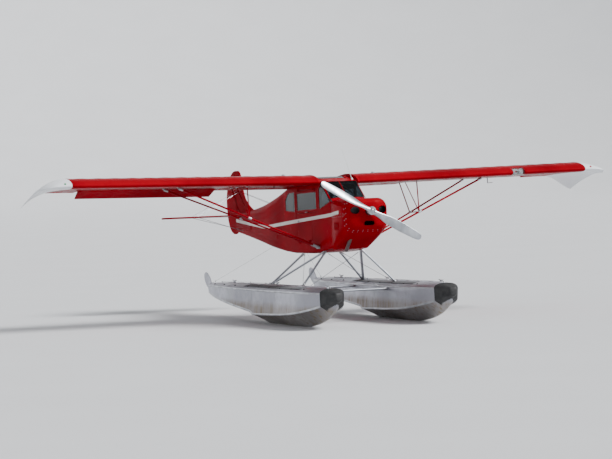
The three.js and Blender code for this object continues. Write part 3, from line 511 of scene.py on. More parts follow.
hotSteel = plainFinish("heat tinted stainless steel", "#8a6a4e", "#4d4a55", (0.25, 0.5), 1.0, 18, 0.0005)
engineCast = plainFinish("cast engine aluminium", "#7c7d80", "#55565a", (0.45, 0.7), 0.8, 50, 0.001)
blackPanel = plainFinish("black crackle enamel", "#17181a", "#232427", (0.5, 0.75), 0.0, 220, 0.0009)
vinylTrim = plainFinish("grey moulded vinyl", "#5b5c60", "#48494d", (0.45, 0.65), 0.0, 160, 0.0007)
webbing = plainFinish("woven nylon webbing", "#2b2d33", "#3a3d45", (0.6, 0.8), 0.0, 300, 0.001, (1, 3, 1))
whitePlastic = plainFinish("white moulded plastic", "#e6e7e6", "#d2d3d2", (0.25, 0.4), 0.0, 30, 0.0002)
print("finishes made")

view = {"station": (48.065, -20.2, 3.03), "aim": (0.15, -0.05, 1.60), "lens": 170.0, "roll": 1.7}
camera = inScene("camera", bpy.data.cameras.new("camera"))
bpy.context.scene.camera = camera
camera.location = view["station"]
towards = (Vector(view["aim"]) - Vector(view["station"])).to_track_quat("-Z", "Y")
camera.rotation_euler = (towards @ Quaternion((0, 0, 1), -math.radians(view["roll"]))).to_euler()
camera.data.lens = view["lens"]
camera.data.clip_end = 2000

floorMaterial, floorTree, floorShader, floorCoords = startMaterial("pale studio floor", Roughness=0.75)
floorTone = mixed(floorTree, noise(floorTree, floorCoords, 0.4, 3), linear("#d6d7d9"), linear("#cfd0d2"))
floorTree.links.new(floorTone, floorShader.inputs["Base Color"])

# A wide floor that turns up into a wall all round, so that no edge shows: a turned profile of (radius, height).
bend = np.radians(np.linspace(0, 90, 24))
profile = np.array([(0.0, 0.0), (8.0, 0.0), (30.0, 0.0), (90.0, 0.0),
    *zip(110 + 60 * np.sin(bend), 60 - 60 * np.cos(bend)), (170.0, 90.0)])
turns = np.linspace(0, 2 * np.pi, 96, endpoint=False)
bowl = columns(profile[1:, None, 0] * np.cos(turns), profile[1:, None, 0] * np.sin(turns), profile[1:, None, 1])
floorMesh = rawMesh("floor", skin(bowl, caps=(True, False)))
floorMesh.shade_smooth()
floorMesh.materials.append(floorMaterial)
inScene("floor", floorMesh)

studio = bpy.data.worlds.new("studio")
studio.use_nodes = True
sky = studio.node_tree.nodes["Background"].inputs
sky["Color"].default_value, sky["Strength"].default_value = linear("#e6ebf0"), 0.5
bpy.context.scene.world = studio

# One broad, soft key from ahead, above and to port, and a weak one from the other side.
lamps = [
    {"name": "key", "at": (6.0, 7.0, 7.5), "angle": 20, "power": 6.0},
    {"name": "fill", "at": (7.0, -9.0, 5.0), "angle": 60, "power": 0.15},
]
for lamp in lamps:
    light = bpy.data.lights.new(lamp["name"], "SUN")
    light.angle, light.energy = math.radians(lamp["angle"]), lamp["power"]
    holder = inScene(lamp["name"], light)
    holder.location = lamp["at"]
    holder.rotation_euler = (-Vector(lamp["at"])).to_track_quat("-Z", "Y").to_euler()
print("camera and light set")

wing = {
    "chord": 1.6, "thick": 0.117, "camber": 0.045, "camberAt": 0.4, "edge": 0.008,
    "dihedral": math.radians(1), "incidence": math.radians(2),
    "root": 0.3603, "tipStart": 4.9, "tipEnd": 5.37, "hinge": 0.76, "bays": 15, "sag": 0.0045,
    "droop": 0.29, "sweep": 0.23, "corner": 0.45,
    "cove": (0.412, 4.368), "flap": (0.42, 1.81), "aileron": (1.85, 4.36), "aileronRest": math.radians(17),
    "flapHinges": (0.6, 1.63), "aileronHinges": (2.08, 3.105, 4.13),
}
ribPitch = (wing["tipStart"] - wing["root"]) / wing["bays"]


# A two-part parabola: up to the camber at its place, and down to nothing at the trailing edge.
def meanLine(t):
    p = wing["camberAt"]
    return np.where(t < p, wing["camber"] / p**2 * (2 * p * t - t * t),
        wing["camber"] / (1 - p) ** 2 * (1 - 2 * p + 2 * p * t - t * t))


# Half the thickness of a four-digit section, and the trailing edge's own thickness shared out along the chord.
def halfThick(t):
    form = 0.2969 * np.sqrt(t) - 0.126 * t - 0.3516 * t**2 + 0.2843 * t**3 - 0.1036 * t**4
    return 5 * wing["thick"] * form + t * wing["edge"] / (2 * wing["chord"])


def riseAt(y):
    return (y - 0.36) * math.tan(wing["dihedral"])


# Between two ribs the cloth sinks by a squared sine, nothing at the metal leading edge and at the trailing edge.
def clothSag(t, y):
    inBay = np.sin(np.pi * (y - wing["root"]) / ribPitch) ** 2
    along = np.clip((t - 0.10) / 0.12, 0, 1) * np.clip((0.985 - t) / 0.1, 0, 1)
    return wing["sag"] * inBay * along


# A point of the wing's skin from its place along the chord, its side (1 above, -1 below) and its place in the span.
def wingPoints(t, side, y, setback=0.0, chord=None, thick=1.0, droop=0.0, sag=True):
    chord = wing["chord"] if chord is None else chord
    aft = setback + chord * t
    sunk = aft * math.tan(wing["incidence"]) + droop * (0.12 + 0.88 * aft / wing["chord"])
    middle = airframe["leadingEdge"] + riseAt(y) - sunk
    half = thick * chord * halfThick(t) - (clothSag(t, y) if sag else 0)
    return columns(-aft, y, middle + chord * meanLine(t) + side * half)


hingeX = -wing["chord"] * wing["hinge"]
noseRadius = wing["chord"] * float(halfThick(wing["hinge"])) - 0.003


def hingeZ(y):
    arched = wing["chord"] * float(meanLine(np.array(wing["hinge"])))
    return airframe["leadingEdge"] + riseAt(y) + arched + hingeX * math.tan(wing["incidence"])


def arcPoints(radius, degrees, y):
    a = np.radians(degrees)
    return columns(hingeX + radius * np.cos(a), y, hingeZ(y) + radius * np.sin(a))


# One ring of the wing panel: either the whole section, or the section with a cove for the flap and aileron.
def panelRing(y, full):
    lip = 0.742
    t = lip * (1 - np.cos(np.linspace(0, np.pi, 41))) / 2
    upper, lower = wingPoints(t[::-1], 1, y), wingPoints(t[1:], -1, y)
    if full:
        aft = np.linspace(1, lip, 8)[:-1]
        above, below = wingPoints(aft, 1, y), wingPoints(aft[::-1], -1, y)
    else:
        reach = noseRadius + 0.012
        above, below = arcPoints(reach, np.linspace(4, 58, 7), y), arcPoints(reach, np.linspace(-58, -4, 7), y)
    return np.concatenate([above, upper, lower, below])


# The distance round each ring from its first point.
def ringLength(rings):
    steps = np.linalg.norm(np.diff(rings, axis=1), axis=-1)
    return np.concatenate([np.zeros((len(rings), 1)), np.cumsum(steps, 1)], 1)


def ribMap(rings, ys):
    return columns(((np.asarray(ys) - wing["root"]) / ribPitch)[:, None], ringLength(rings))


bayPlaces = np.linspace(wing["root"], wing["tipStart"] - 0.0003, wing["bays"] * 10 + 1)
coveIn, coveOut = wing["cove"]
spans = [(y, True) for y in bayPlaces[bayPlaces < coveIn]] + [(coveIn - 1e-4, True)]
inCove = bayPlaces[(bayPlaces > coveIn) & (bayPlaces < coveOut)]
spans += [(y, False) for y in (coveIn, *inCove, coveOut)]
spans += [(coveOut + 1e-4, True)] + [(y, True) for y in bayPlaces[bayPlaces > coveOut]]
lampBay = {"low": 3.43, "high": 3.67, "back": -0.12, "lamps": (3.49, 3.61), "radius": 0.05}
spans += [(lampBay[end] + step, False) for end in ("low", "high") for step in (-1e-4, 1e-4)]
spans.sort()
panelRings = np.stack([panelRing(y, full) for y, full in spans])
panelMap = ribMap(panelRings, [y for y, _ in spans])


# One ring of a flap or aileron: a round nose on the hinge line, and the wing's own section behind it.
def surfaceRing(y, nose):
    aft = np.linspace(1, wing["hinge"], 12)
    above, below = wingPoints(aft, 1, y), wingPoints(aft[::-1], -1, y)
    return np.concatenate([above, arcPoints(noseRadius * nose, np.linspace(68, -68, 11), y), below])


# Rings along a flap or aileron, its nose cut back to the hinge pin where a hinge plate stands.
def movingSurface(low, high, hinges):
    slot, shut = 0.012, 0.0002
    inner = bayPlaces[(bayPlaces > low + 0.003) & (bayPlaces < high - 0.003)]
    inner = inner[np.all(np.abs(inner[:, None] - np.array(hinges)[None]) > slot + 0.002, axis=1)]
    rows = [(low, 1.0), (high, 1.0)] + [(y, 1.0) for y in inner]
    for h in hinges:
        rows += [(h - slot - shut, 1.0), (h - slot, 0.13), (h + slot, 0.13), (h + slot + shut, 1.0)]
    rows.sort()
    rings = np.stack([surfaceRing(y, nose) for y, nose in rows])
    return rings, ribMap(rings, [y for y, _ in rows])


# Turns the aileron about its hinge line, which rises with the dihedral.
def aileronTurned(rings, angle):
    axis = np.array([0, math.cos(wing["dihedral"]), math.sin(wing["dihedral"])])
    centre = np.array([hingeX, 0, hingeZ(0.0)])
    v = rings - centre
    c, s = math.cos(angle), math.sin(angle)
    return centre + v * c + np.cross(axis, v) * s + axis * (v @ axis)[..., None] * (1 - c)


# A tip ring at q, from 0 at the panel to 1 outside: square with round corners, thinner and more drooped outwards.
def tipRing(q):
    turn = 1 - math.sqrt(max(0.0, 1 - (max(0.0, q - wing["corner"]) / (1 - wing["corner"])) ** 2))
    t = (1 - np.cos(np.linspace(0, np.pi, 41))) / 2
    y = wing["tipStart"] + (wing["tipEnd"] - wing["tipStart"]) * q
    edge = math.sqrt(max(0.0, 1 - max(0.0, (q - 0.94) / 0.06) ** 2))
    size = {"setback": wing["sweep"] * turn, "chord": wing["chord"] - wing["sweep"] * turn * 1.5,
            "thick": (1 - 0.82 * q**2) * (0.04 + 0.96 * edge), "droop": wing["droop"] * q**1.5, "sag": False}
    return np.concatenate([wingPoints(t[::-1], 1, y, **size), wingPoints(t[1:], -1, y, **size)])


tipPlaces = 1 - (1 - np.linspace(0, 1, 34)) ** 1.6
tipRings = np.stack([tipRing(q) for q in tipPlaces])
tipMap = columns(0.5, ringLength(tipRings))
inBay = [lampBay["low"] < y < lampBay["high"] for y, _ in spans]
bayRings = panelRings.copy()
bayRings[inBay, :, 0] = np.minimum(bayRings[inBay, :, 0], lampBay["back"])
flapRings, flapMap = movingSurface(*wing["flap"], wing["flapHinges"])
aileronRings, aileronMap = movingSurface(*wing["aileron"], wing["aileronHinges"])
for side, turn in sides:
    shown = [
        ("wing_skin_", bayRings if turn > 0 else panelRings, panelMap, redFabric, "airframe", "wing_", "red_fabric"),
        ("wing_tip_skin_", tipRings, tipMap, whiteFabric, "airframe", "wing_tip_", "white_fabric"),
        ("flap_skin_", flapRings, flapMap, redFabric, "flap_" + side, "flap_", "red_fabric"),
        ("aileron_skin_", aileronTurned(aileronRings, turn * wing["aileronRest"]), aileronMap, redFabric,
        "aileron_" + side, "aileron_", "red_fabric"),
    ]
    for name, rings, ribs, finish, body, node, slotName in shown:
        makePiece(name + side, skin(rings), finish, body, uv=ribs, stands=(node + side,), flip=turn < 0)
print("wings made")

rearBody = {
    "x": [-1.7503, -2.35, -3.2, -4.15, -4.924],
    "rows": [(0.345, 1.285, 2.4, 0.045, 0.11), (0.318, 1.362, 2.29, 0.05, 0.15), (0.236, 1.488, 2.17, 0.05, 0.14),
             (0.124, 1.618, 2.092, 0.04, 0.08), (0.03, 1.722, 2.06, 0.014, 0.018)],
    "roofRibs": (0.12, 0.31, 0.5, 0.69, 0.88), "sideRibs": (0.28, 0.58, 0.84), "ridge": 0.005, "bay": 0.45,
    "sag": 0.004,
}
cowl = {
    "x": [1.245, 1.222, 1.14, 0.95, 0.7, 0.4003],
    "rows": [(0.225, 1.752, 2.062, 0.11, 0.13), (0.305, 1.672, 2.096, 0.14, 0.16), (0.378, 1.588, 2.118, 0.15, 0.17),
             (0.41, 1.5, 2.128, 0.135, 0.15), (0.398, 1.398, 2.128, 0.11, 0.12), (0.345, 1.27, 2.12, 0.06, 0.07)],
    "skin": 0.006, "inlet": (0.255, 1.92, 0.0825, 0.0675), "chin": (0.1, 1.65, 1.735), "noseJoint": 1.1, "split": 1.85,
}


# Smooth columns between the sections: a cubic through each pair, its slopes from the neighbours, without overshoot.
def between(xs, rows, at):
    xs, rows, at = np.asarray(xs, float), np.asarray(rows, float), np.asarray(at, float)
    if xs[0] > xs[-1]:
        xs, rows = xs[::-1], rows[::-1]
    step = np.diff(rows, axis=0) / np.diff(xs)[:, None]
    slope = np.concatenate([step[:1], (step[1:] + step[:-1]) / 2, step[-1:]])
    flat = np.concatenate([np.zeros_like(step[:1], bool), step[1:] * step[:-1] <= 0, np.zeros_like(step[:1], bool)])
    slope[flat] = 0
    i = np.clip(np.searchsorted(xs, at) - 1, 0, len(xs) - 2)
    h = (xs[i + 1] - xs[i])[:, None]
    f = np.clip((at - xs[i])[:, None] / h, 0, 1)
    return ((2 * f**3 - 3 * f**2 + 1) * rows[i] + (f**3 - 2 * f**2 + f) * h * slope[i]
            + (3 * f**2 - 2 * f**3) * rows[i + 1] + (f**3 - f**2) * h * slope[i + 1])


# Rings of the rounded box: four quarter circles joined by straight runs, from the port side over the roof.
def bodyRings(x, rows, grow=0.0, arc=8, flat=20):
    half, bottom, top, low, high = np.asarray(rows).T
    corners = []
    for y, z, radius, start in ((half - high, top - high, high, 0), (high - half, top - high, high, 90),
                                (low - half, bottom + low, low, 180), (half - low, bottom + low, low, 270)):
        a = np.radians(start + np.linspace(0, 90, arc + 1))
        reach = (radius + grow)[:, None]
        corners.append(columns(y[:, None] + reach * np.cos(a), z[:, None] + reach * np.sin(a)))
    share = np.linspace(0, 1, flat + 1)[1:-1][None, :, None]
    runs = []
    for k in range(4):
        last, first = corners[k][:, -1:], corners[(k + 1) % 4][:, :1]
        runs += [corners[k], last + (first - last) * share]
    ring = np.concatenate(runs, 1)
    return columns(np.asarray(x)[:, None], ring[..., 0], ring[..., 1])


# The cloth of the rear body stands proud over each stringer and sinks a little between the formers.
rearX = np.linspace(rearBody["x"][0], rearBody["x"][-1], 113)
rearRings = bodyRings(rearX, between(rearBody["x"], rearBody["rows"], rearX), flat=44)
arcCount, flatCount = 9, 43
place = np.full(rearRings.shape[1], np.nan)
for k in range(4):
    start = k * (arcCount + flatCount) + arcCount
    place[start:start + flatCount] = np.linspace(0, 1, flatCount + 2)[1:-1]
order = np.arange(len(place)) // (arcCount + flatCount)
proud = np.zeros(len(place))
for quarter, ribs in ((0, rearBody["roofRibs"]), (1, rearBody["sideRibs"]), (3, [1 - r for r in rearBody["sideRibs"]])):
    for r in ribs:
        here = (order == quarter) & ~np.isnan(place)
        proud[here] = np.maximum(proud[here], np.clip(1 - np.abs(place[here] - r) / 0.09, 0, 1) ** 1.6)
outward = rearRings[..., 1:] - rearRings[..., 1:].mean(1, keepdims=True)
outward = unit(np.where(order[None, :, None] % 2 == 0, outward * [0, 1], outward * [1, 0]))
bayShape = np.sin(np.pi * (rearX - rearX[0]) / rearBody["bay"]) ** 2
fade = np.clip((rearX - rearX[-1]) / 0.9, 0, 1) * np.clip((rearX[0] - rearX) / 0.12, 0, 1)
isRun = (~np.isnan(place)).astype(float)
runShape = np.nan_to_num(np.sin(np.pi * np.nan_to_num(place)))
lift = rearBody["ridge"] * (proud[None] - 0.9 * isRun * runShape) * fade[:, None]
lift = lift - rearBody["sag"] * (bayShape * fade)[:, None] * (isRun * runShape)[None]
rearRings[..., 1:] += outward * lift[..., None]
rearMap = columns(((rearX - rearX[0]) / rearBody["bay"] + 0.5)[:, None], ringLength(rearRings))
makePiece("rear_body_skin", skin(rearRings), redSides, uv=rearMap, stands=("rear_fuselage",))


# Cuts one mesh with others and keeps the result as points and faces, so that the finished piece has no live boolean.
def carved(part, tools):
    holders = []
    for blank in [part] + tools:
        mesh = rawMesh("blank", blank)
        cleaned(mesh)
        holders.append(inScene("blank", mesh))
    for tool in holders[1:]:
        cut = holders[0].modifiers.new("cut", "BOOLEAN")
        cut.object, cut.operation, cut.solver = tool, "DIFFERENCE", "EXACT"
    bpy.context.view_layer.update()
    result = asShown(holders[0])
    points, faces = meshArray(result), [list(face.vertices) for face in result.polygons]
    for holder in holders:
        bpy.data.objects.remove(holder)
    bpy.data.meshes.remove(result)
    return points, faces


# How far (y, z) is outside the rounded box at each x: negative inside it.
def outsideBox(rows, y, z):
    half, bottom, top, low, high = np.asarray(rows).T
    radius = np.where(z > (bottom + top) / 2, high, low)
    qy, qz = np.abs(y) - (half - radius), np.abs(z - (bottom + top) / 2) - ((top - bottom) / 2 - radius)
    return np.hypot(np.maximum(qy, 0), np.maximum(qz, 0)) + np.minimum(np.maximum(qy, qz), 0) - radius


def cowlRows(x):
    return between(cowl["x"], cowl["rows"], x)


def cowlRings(x, grow=0.0):
    return bodyRings(x, cowlRows(x), grow, arc=12, flat=8)


cowlFine = np.concatenate([np.linspace(1.245, 1.205, 9)[:-1], np.linspace(1.205, 1.10, 9)[:-1],
    np.linspace(1.10, 0.4003, 22)])


# The cowl's front as seen from ahead: the x at which (y, z) meets its skin.
def cowlFront(y, z):
    xs = np.linspace(1.245, 0.6, 260)
    return float(xs[np.argmax(outsideBox(cowlRows(xs), y, z) <= 0)])


# The cowl's shell turns in at its front to a flat face round the shaft, and its inner wall runs back behind it.
outerRings, innerRings = cowlRings(cowlFine), cowlRings(cowlFine, -cowl["skin"])
innerRings[..., 0] -= np.clip((innerRings[..., 0] - 1.1) / 0.145, 0, 1) * cowl["skin"]
noseCentre = np.array([0, 1.9])
faceRings = []
for share, ahead in ((0.96, 0.003), (0.85, 0.0055), (0.6, 0.007), (0.3, 0.0075)):
    ring = outerRings[0].copy()
    ring[:, 1:] = noseCentre + (ring[:, 1:] - noseCentre) * share
    ring[:, 0] += ahead
    faceRings.append(ring)
backRings = [ring - [0.008, 0, 0] for ring in faceRings[::-1]]
rings = np.concatenate([outerRings[::-1], np.stack(faceRings), np.stack(backRings), innerRings, outerRings[-1:]])
inletY, inletZ, inletWide, inletTall = cowl["inlet"]
ovalTurn = np.linspace(0, 2 * np.pi, 48, endpoint=False)


def ovalTunnel(y, z, wide, tall):
    return skin([columns(x, y + wide * np.cos(ovalTurn), z + tall * np.sin(ovalTurn)) for x in (1.02, 1.4)])


chinHalf, chinLow, chinHigh = cowl["chin"]
chinRound = columns((chinHalf - 0.035) * np.sign(np.cos(ovalTurn)) + 0.035 * np.cos(ovalTurn),
                    (chinLow + chinHigh) / 2 + (chinHigh - chinLow) / 2 * np.sin(ovalTurn))
chinTunnel = skin([columns(x, chinRound[:, 0], chinRound[:, 1]) for x in (1.08, 1.4)])
seams = [brick((cowl["noseJoint"] - 0.001, -0.6, 1.2), (cowl["noseJoint"] + 0.001, 0.6, 2.4))]
seams += [brick((0.3, low, cowl["split"] - 0.001), (cowl["noseJoint"], high, cowl["split"] + 0.001))
    for low, high in ((-0.6, -0.28), (0.28, 0.6))]
cowlShell = carved(skin(rings, caps=(False, False)), [
    ovalTunnel(inletY, inletZ, inletWide, inletTall), ovalTunnel(-inletY, inletZ, inletWide, inletTall),
    ovalTunnel(0, 1.9, 0.075, 0.075), chinTunnel, *seams])
makePiece("cowl_skin", cowlShell, redEnamel, sharp=38,
    stands=("cowl_nose", "cowl_top", "cowl_bottom"))

lips = []
for s in (-1, 1):
    y, z = s * inletY + inletWide * np.cos(ovalTurn), inletZ + inletTall * np.sin(ovalTurn)
    path = columns([cowlFront(a, b) - 0.001 for a, b in zip(y, z)], y, z)
    lips.append(tube(path, 0.0065, 10, (1, 0, 0), close=True))
path = columns([cowlFront(a, b) for a, b in chinRound], chinRound[:, 0], chinRound[:, 1])
lips.append(tube(path, 0.005, 10, (1, 0, 0), close=True))
makePiece("cowl_lips", lips, redEnamel)

# Turn fasteners along the cowl's side seams and on both sides of its nose joint.
spots, faces = [], []
for x in np.linspace(0.46, 1.04, 7):
    row = cowlRows([x])[0]
    for s in (-1, 1):
        for dz in (0.024, -0.024):
            spots.append((x, s * row[0], cowl["split"] + dz))
            faces.append((0, s, 0))
count = 26
for x in (cowl["noseJoint"] - 0.022, cowl["noseJoint"] + 0.022):
    ring, ahead = cowlRings([x])[0], cowlRings([x + 0.01])[0]
    closed = np.concatenate([ring, ring[:1]])
    whole = lineLengths(closed)[-1]
    spot = atLengths(closed, np.linspace(0, whole, count, endpoint=False) + whole / count / 2)
    near = np.argmin(np.linalg.norm(spot[:, None] - ring[None], axis=-1), 1)
    tangent = np.roll(ring, -1, 0)[near] - np.roll(ring, 1, 0)[near]
    spots += spot.tolist()
    faces += np.cross(tangent, ahead[near] - ring[near]).tolist()
spots, faces = np.array(spots), unit(faces)
middle = np.array([0, 0, 1.85])
faces *= np.sign(np.sum(faces * (spots - middle) * [0, 1, 1], -1, keepdims=True))
makePiece("cowl_fasteners", domes(spots, faces, 0.0085, 0.3, 12), plainSteel)

# Five pressed louvres on each side of the cowl.
louvres = []
for s in (-1, 1):
    for k in range(5):
        x = 0.62 + 0.052 * k
        row = cowlRows([x])[0]
        path = columns(x, s * (row[0] - 0.001), np.linspace(1.60, 1.74, 9))
        louvres.append(sweep(path, [(-0.016, 0), (-0.010, 0.008), (0.004, 0.011), (0.006, 0)], (0, s, 0),
                             scale=np.sin(np.linspace(0.12, np.pi - 0.12, 9)) ** 0.35))
makePiece("cowl_louvres", louvres, redEnamel)
print("body and cowl made")

dressNode("cabin_shell", shellEnamel, bevel=0.0015)
dressNode("door_upper", shellEnamel, "door_upper", 0.0012)
dressNode("door_lower", shellEnamel, "door_lower", 0.0012)


# Grey tinted acrylic with fine wiping scratches that break up the gloss. It bends light less than real sheet, so that
# the pale studio doesn't mirror in it.
acrylic, acrylicTree, acrylicShader, acrylicCoords = startMaterial(
    "tinted acrylic sheet", Transmission_Weight=1.0, IOR=1.24, Base_Color=linear("#68747a"))
scratches = noise(acrylicTree, acrylicCoords, 45, 5, (1, 1, 0.1), 0.7)
acrylicTree.links.new(ramped(acrylicTree, scratches, 0.55, 0.8, 0.01, 0.09), acrylicShader.inputs["Roughness"])
for node in ("windscreen", "side_window_left", "rear_window_left", "rear_window_right", "skylight", "door_upper_glass"):
    paint(node, acrylic)

# The landing light: two mirror bowls on the bay's back wall, behind a thin clear piece of the leading edge.
noseFraction = lampBay["back"] / -wing["chord"] * np.linspace(1, 0, 15) ** 2
lensRings = []
for y in np.linspace(lampBay["low"] + 0.0006, lampBay["high"] - 0.0006, 9):
    outer = np.concatenate([wingPoints(noseFraction, 1, y), wingPoints(noseFraction[::-1][1:], -1, y)])
    centre = np.array([lampBay["back"] * 0.9, y, outer[:, 2].mean()])
    lensRings.append(np.concatenate([outer, (centre + (outer - centre) * [0.975, 1, 0.955])[::-1]]))
clearLens = plainFinish("clear moulded lens", "#fbfcfc", "#f4f6f6", (0.02, 0.06), 0.0, 30, 0.00005,
    Transmission_Weight=1.0, IOR=1.2)
makePiece("landing_light_cover", skin(np.stack(lensRings)), clearLens, stands=("landing_light",))
bowls, bulbs = [], []
for y in lampBay["lamps"]:
    seat = np.array([lampBay["back"] + 0.001, y, airframe["leadingEdge"] + riseAt(y) + 0.012])
    r = lampBay["radius"]
    shape = [(0, 0.004), (0.4 * r, 0.010), (0.75 * r, 0.024), (r, 0.044), (r * 1.07, 0.045), (r * 1.07, 0.0), (0, 0.0)]
    bowls.append(turned(shape, seat, (1, 0, 0), 32))
    shape = [(0, 0.034), (0.006, 0.032), (0.010, 0.024), (0.010, 0.012), (0.005, 0.004), (0, 0.004)]
    bulbs.append(turned(shape, seat, (1, 0, 0), 16))
makePiece("landing_light_bowls", bowls, plainFinish("silvered reflector", "#f2f3f4", "#e6e8ea", (0.10, 0.2), 1.0, 60,
    0.0001))
makePiece("landing_light_bulbs", bulbs, whitePlastic)
x, y0, y1 = lampBay["back"], lampBay["low"] + 0.003, lampBay["high"] - 0.003
z = airframe["leadingEdge"] + riseAt(sum(lampBay["lamps"]) / 2) + 0.012
makePiece("landing_light_plate", [brick((x - 0.002, y0, z - 0.062), (x + 0.002, y1, z + 0.05)),
                                  brick((x, y0, z - 0.062), (x * 0.3, y1, z - 0.060))], whitePlastic)


# A flat strip along a path, its wide side facing the guide.
def strip(path, width, thick, guide, **more):
    w, t = width / 2, thick / 2
    profile = [(-w, -t), (-w, t * 0.4), (-w + t, t), (w - t, t), (w, t * 0.4), (w, -t)]
    return sweep(path, profile, guide, **more)


# Corners of an outline with points set close to each, so that a strip turns them neatly.
def eased(corners, closed=True, radius=0.03, steps=6):
    corners = np.asarray(corners, float)
    n, points = len(corners), []
    for i in range(n):
        if not closed and i in (0, n - 1):
            points.append(corners[i])
            continue
        before, after = corners[i - 1] - corners[i], corners[(i + 1) % n] - corners[i]
        reach = min(radius, np.linalg.norm(before) * 0.45, np.linalg.norm(after) * 0.45)
        a, b = corners[i] + unit(before) * reach, corners[i] + unit(after) * reach
        f = np.linspace(0, 1, steps)[:, None]
        points += list((1 - f) ** 2 * a + 2 * f * (1 - f) * corners[i] + f**2 * b)
    return np.array(points)


def cabinAt(x, column):
    return np.interp(x, cabin["x"][::-1], [row[column] for row in cabin["rows"]][::-1])


def cabinHalfAt(x):
    return cabinAt(x, 0)


windows = {
    "port": [(-1.14, 1.97), (-0.16, 1.97), (-0.16, 2.34), (-1.14, 2.34)],
    "door": [(-1.095, 1.99), (-0.205, 1.99), (-0.205, 2.307), (-1.095, 2.307)],
    "rear": [(-1.19, 1.97), (-1.19, 2.34), (-1.52, 2.328), (-1.668, 2.21), (-1.668, 2.005)],
    "screen": [(0.352, 2.088), (-0.098, 1.975), (-0.098, 2.352), (-0.014, 2.40), (-0.014, 2.452)],
    "trim": 0.020, "proud": 0.0022, "screws": 0.075,
}


def windowLine(name, side, gap):
    return eased([(x, side * (cabinHalfAt(x) + gap), z) for x, z in windows[name]], name != "screen", 0.035)


def windowTrim(name, side):
    return strip(windowLine(name, side, 0.0012), windows["trim"], windows["proud"] * 2, (0, side, 0),
        close=name != "screen")


def windowScrews(name, side):
    corners = windowLine(name, side, 0.003)
    if name != "screen":
        corners = np.concatenate([corners, corners[:1]])
    spot = atLengths(corners, np.arange(0.02, lineLengths(corners)[-1], windows["screws"]))
    return domes(spot, np.tile([0, side, 0], (len(spot), 1)), 0.0042, 0.35)


framed = (("port", 1), ("rear", 1), ("rear", -1), ("screen", -1), ("screen", 1))
trims, screws = ([make(name, s) for name, s in framed] for make in (windowTrim, windowScrews))
base = np.array([(0.352, y, 2.088 + 0.072 * (1 - (y / 0.345) ** 8)) for y in np.linspace(-0.344, 0.344, 41)])
trims.append(strip(base, 0.026, 0.005, (0.7, 0, 0.72)))
slope = np.array([(0.352 - 0.362 * f, 0, 2.1625 + 0.3095 * f) for f in np.linspace(0, 1, 12)])
for y in (-0.335, 0.335):
    trims.append(strip(slope + [0, y, -0.010], 0.022, 0.005, (0.65, math.copysign(0.55, y), 0.76)))
trims.append(strip(slope + [0, 0, 0.001], 0.012, 0.004, (0.65, 0, 0.76)))
makePiece("window_trims", trims, redEnamel, sharp=40)
makePiece("window_screws", screws, plainSteel)
makePiece("door_window_trim", windowTrim("door", -1), redEnamel, "door_upper", sharp=40)
makePiece("door_window_screws", windowScrews("door", -1), plainSteel, "door_upper")
print("cabin made")

tail = {
    "hinge": -4.72, "z": 2.02, "thick": 0.034, "rudderHinge": -4.95, "stern": -4.924,
    "bay": 0.2, "sag": 0.003, "edge": 0.011,
}


def bezier(start, points, steps=24):
    f = np.linspace(0, 1, steps + 1)[1:, None]
    a, b, c, d = (np.asarray(p, float) for p in (start, *points))
    return (1 - f) ** 3 * a + 3 * f * (1 - f) ** 2 * b + 3 * f**2 * (1 - f) * c + f**3 * d


# Points of an outline an even distance apart, its corners eased.
def evenly(points, count=220):
    closed = np.concatenate([points, points[:1]])
    return atLengths(closed, np.linspace(0, lineLengths(closed)[-1], count, endpoint=False))


def drawn(start, *curves):
    points = [np.asarray([start], float)]
    for curve in curves:
        last = points[-1][-1]
        points.append(bezier(last, curve) if len(curve) == 3
            else last + (np.asarray(curve, float) - last) * np.linspace(0, 1, 13)[1:, None])
    return evenly(np.concatenate(points))


finOutline = drawn((-3.78, 2.0), ((-4.17, 2.14), (-4.43, 2.23), (-4.56, 2.47)),
    ((-4.63, 2.62), (-4.65, 2.86), (-4.79, 2.88)), (tail["stern"], 2.884), (tail["stern"], 1.99))
rudderOutline = drawn((-4.933, 2.884), (-4.95, 2.884), ((-5.13, 2.88), (-5.39, 2.70), (-5.44, 2.36)),
                      ((-5.47, 2.06), (-5.38, 1.78), (-5.18, 1.7)), ((-5.1, 1.67), (-5.0, 1.668), (-4.95, 1.69)),
                      (-4.933, 1.70))
stabiliserOutline = drawn((-3.99, 0.0), (-4.08, 0.12), (-4.33, 0.98), ((-4.4, 1.26), (-4.46, 1.56), (-4.62, 1.6)),
    (-4.696, 1.6), (-4.696, 0.0))
elevatorOutline = drawn((-4.703, 0.075), (-4.703, 1.6), (-4.72, 1.6), ((-4.86, 1.6), (-5.01, 1.5), (-5.07, 1.28)),
    ((-5.17, 0.92), (-5.18, 0.52), (-5.15, 0.19)), (-4.72, 0.075))


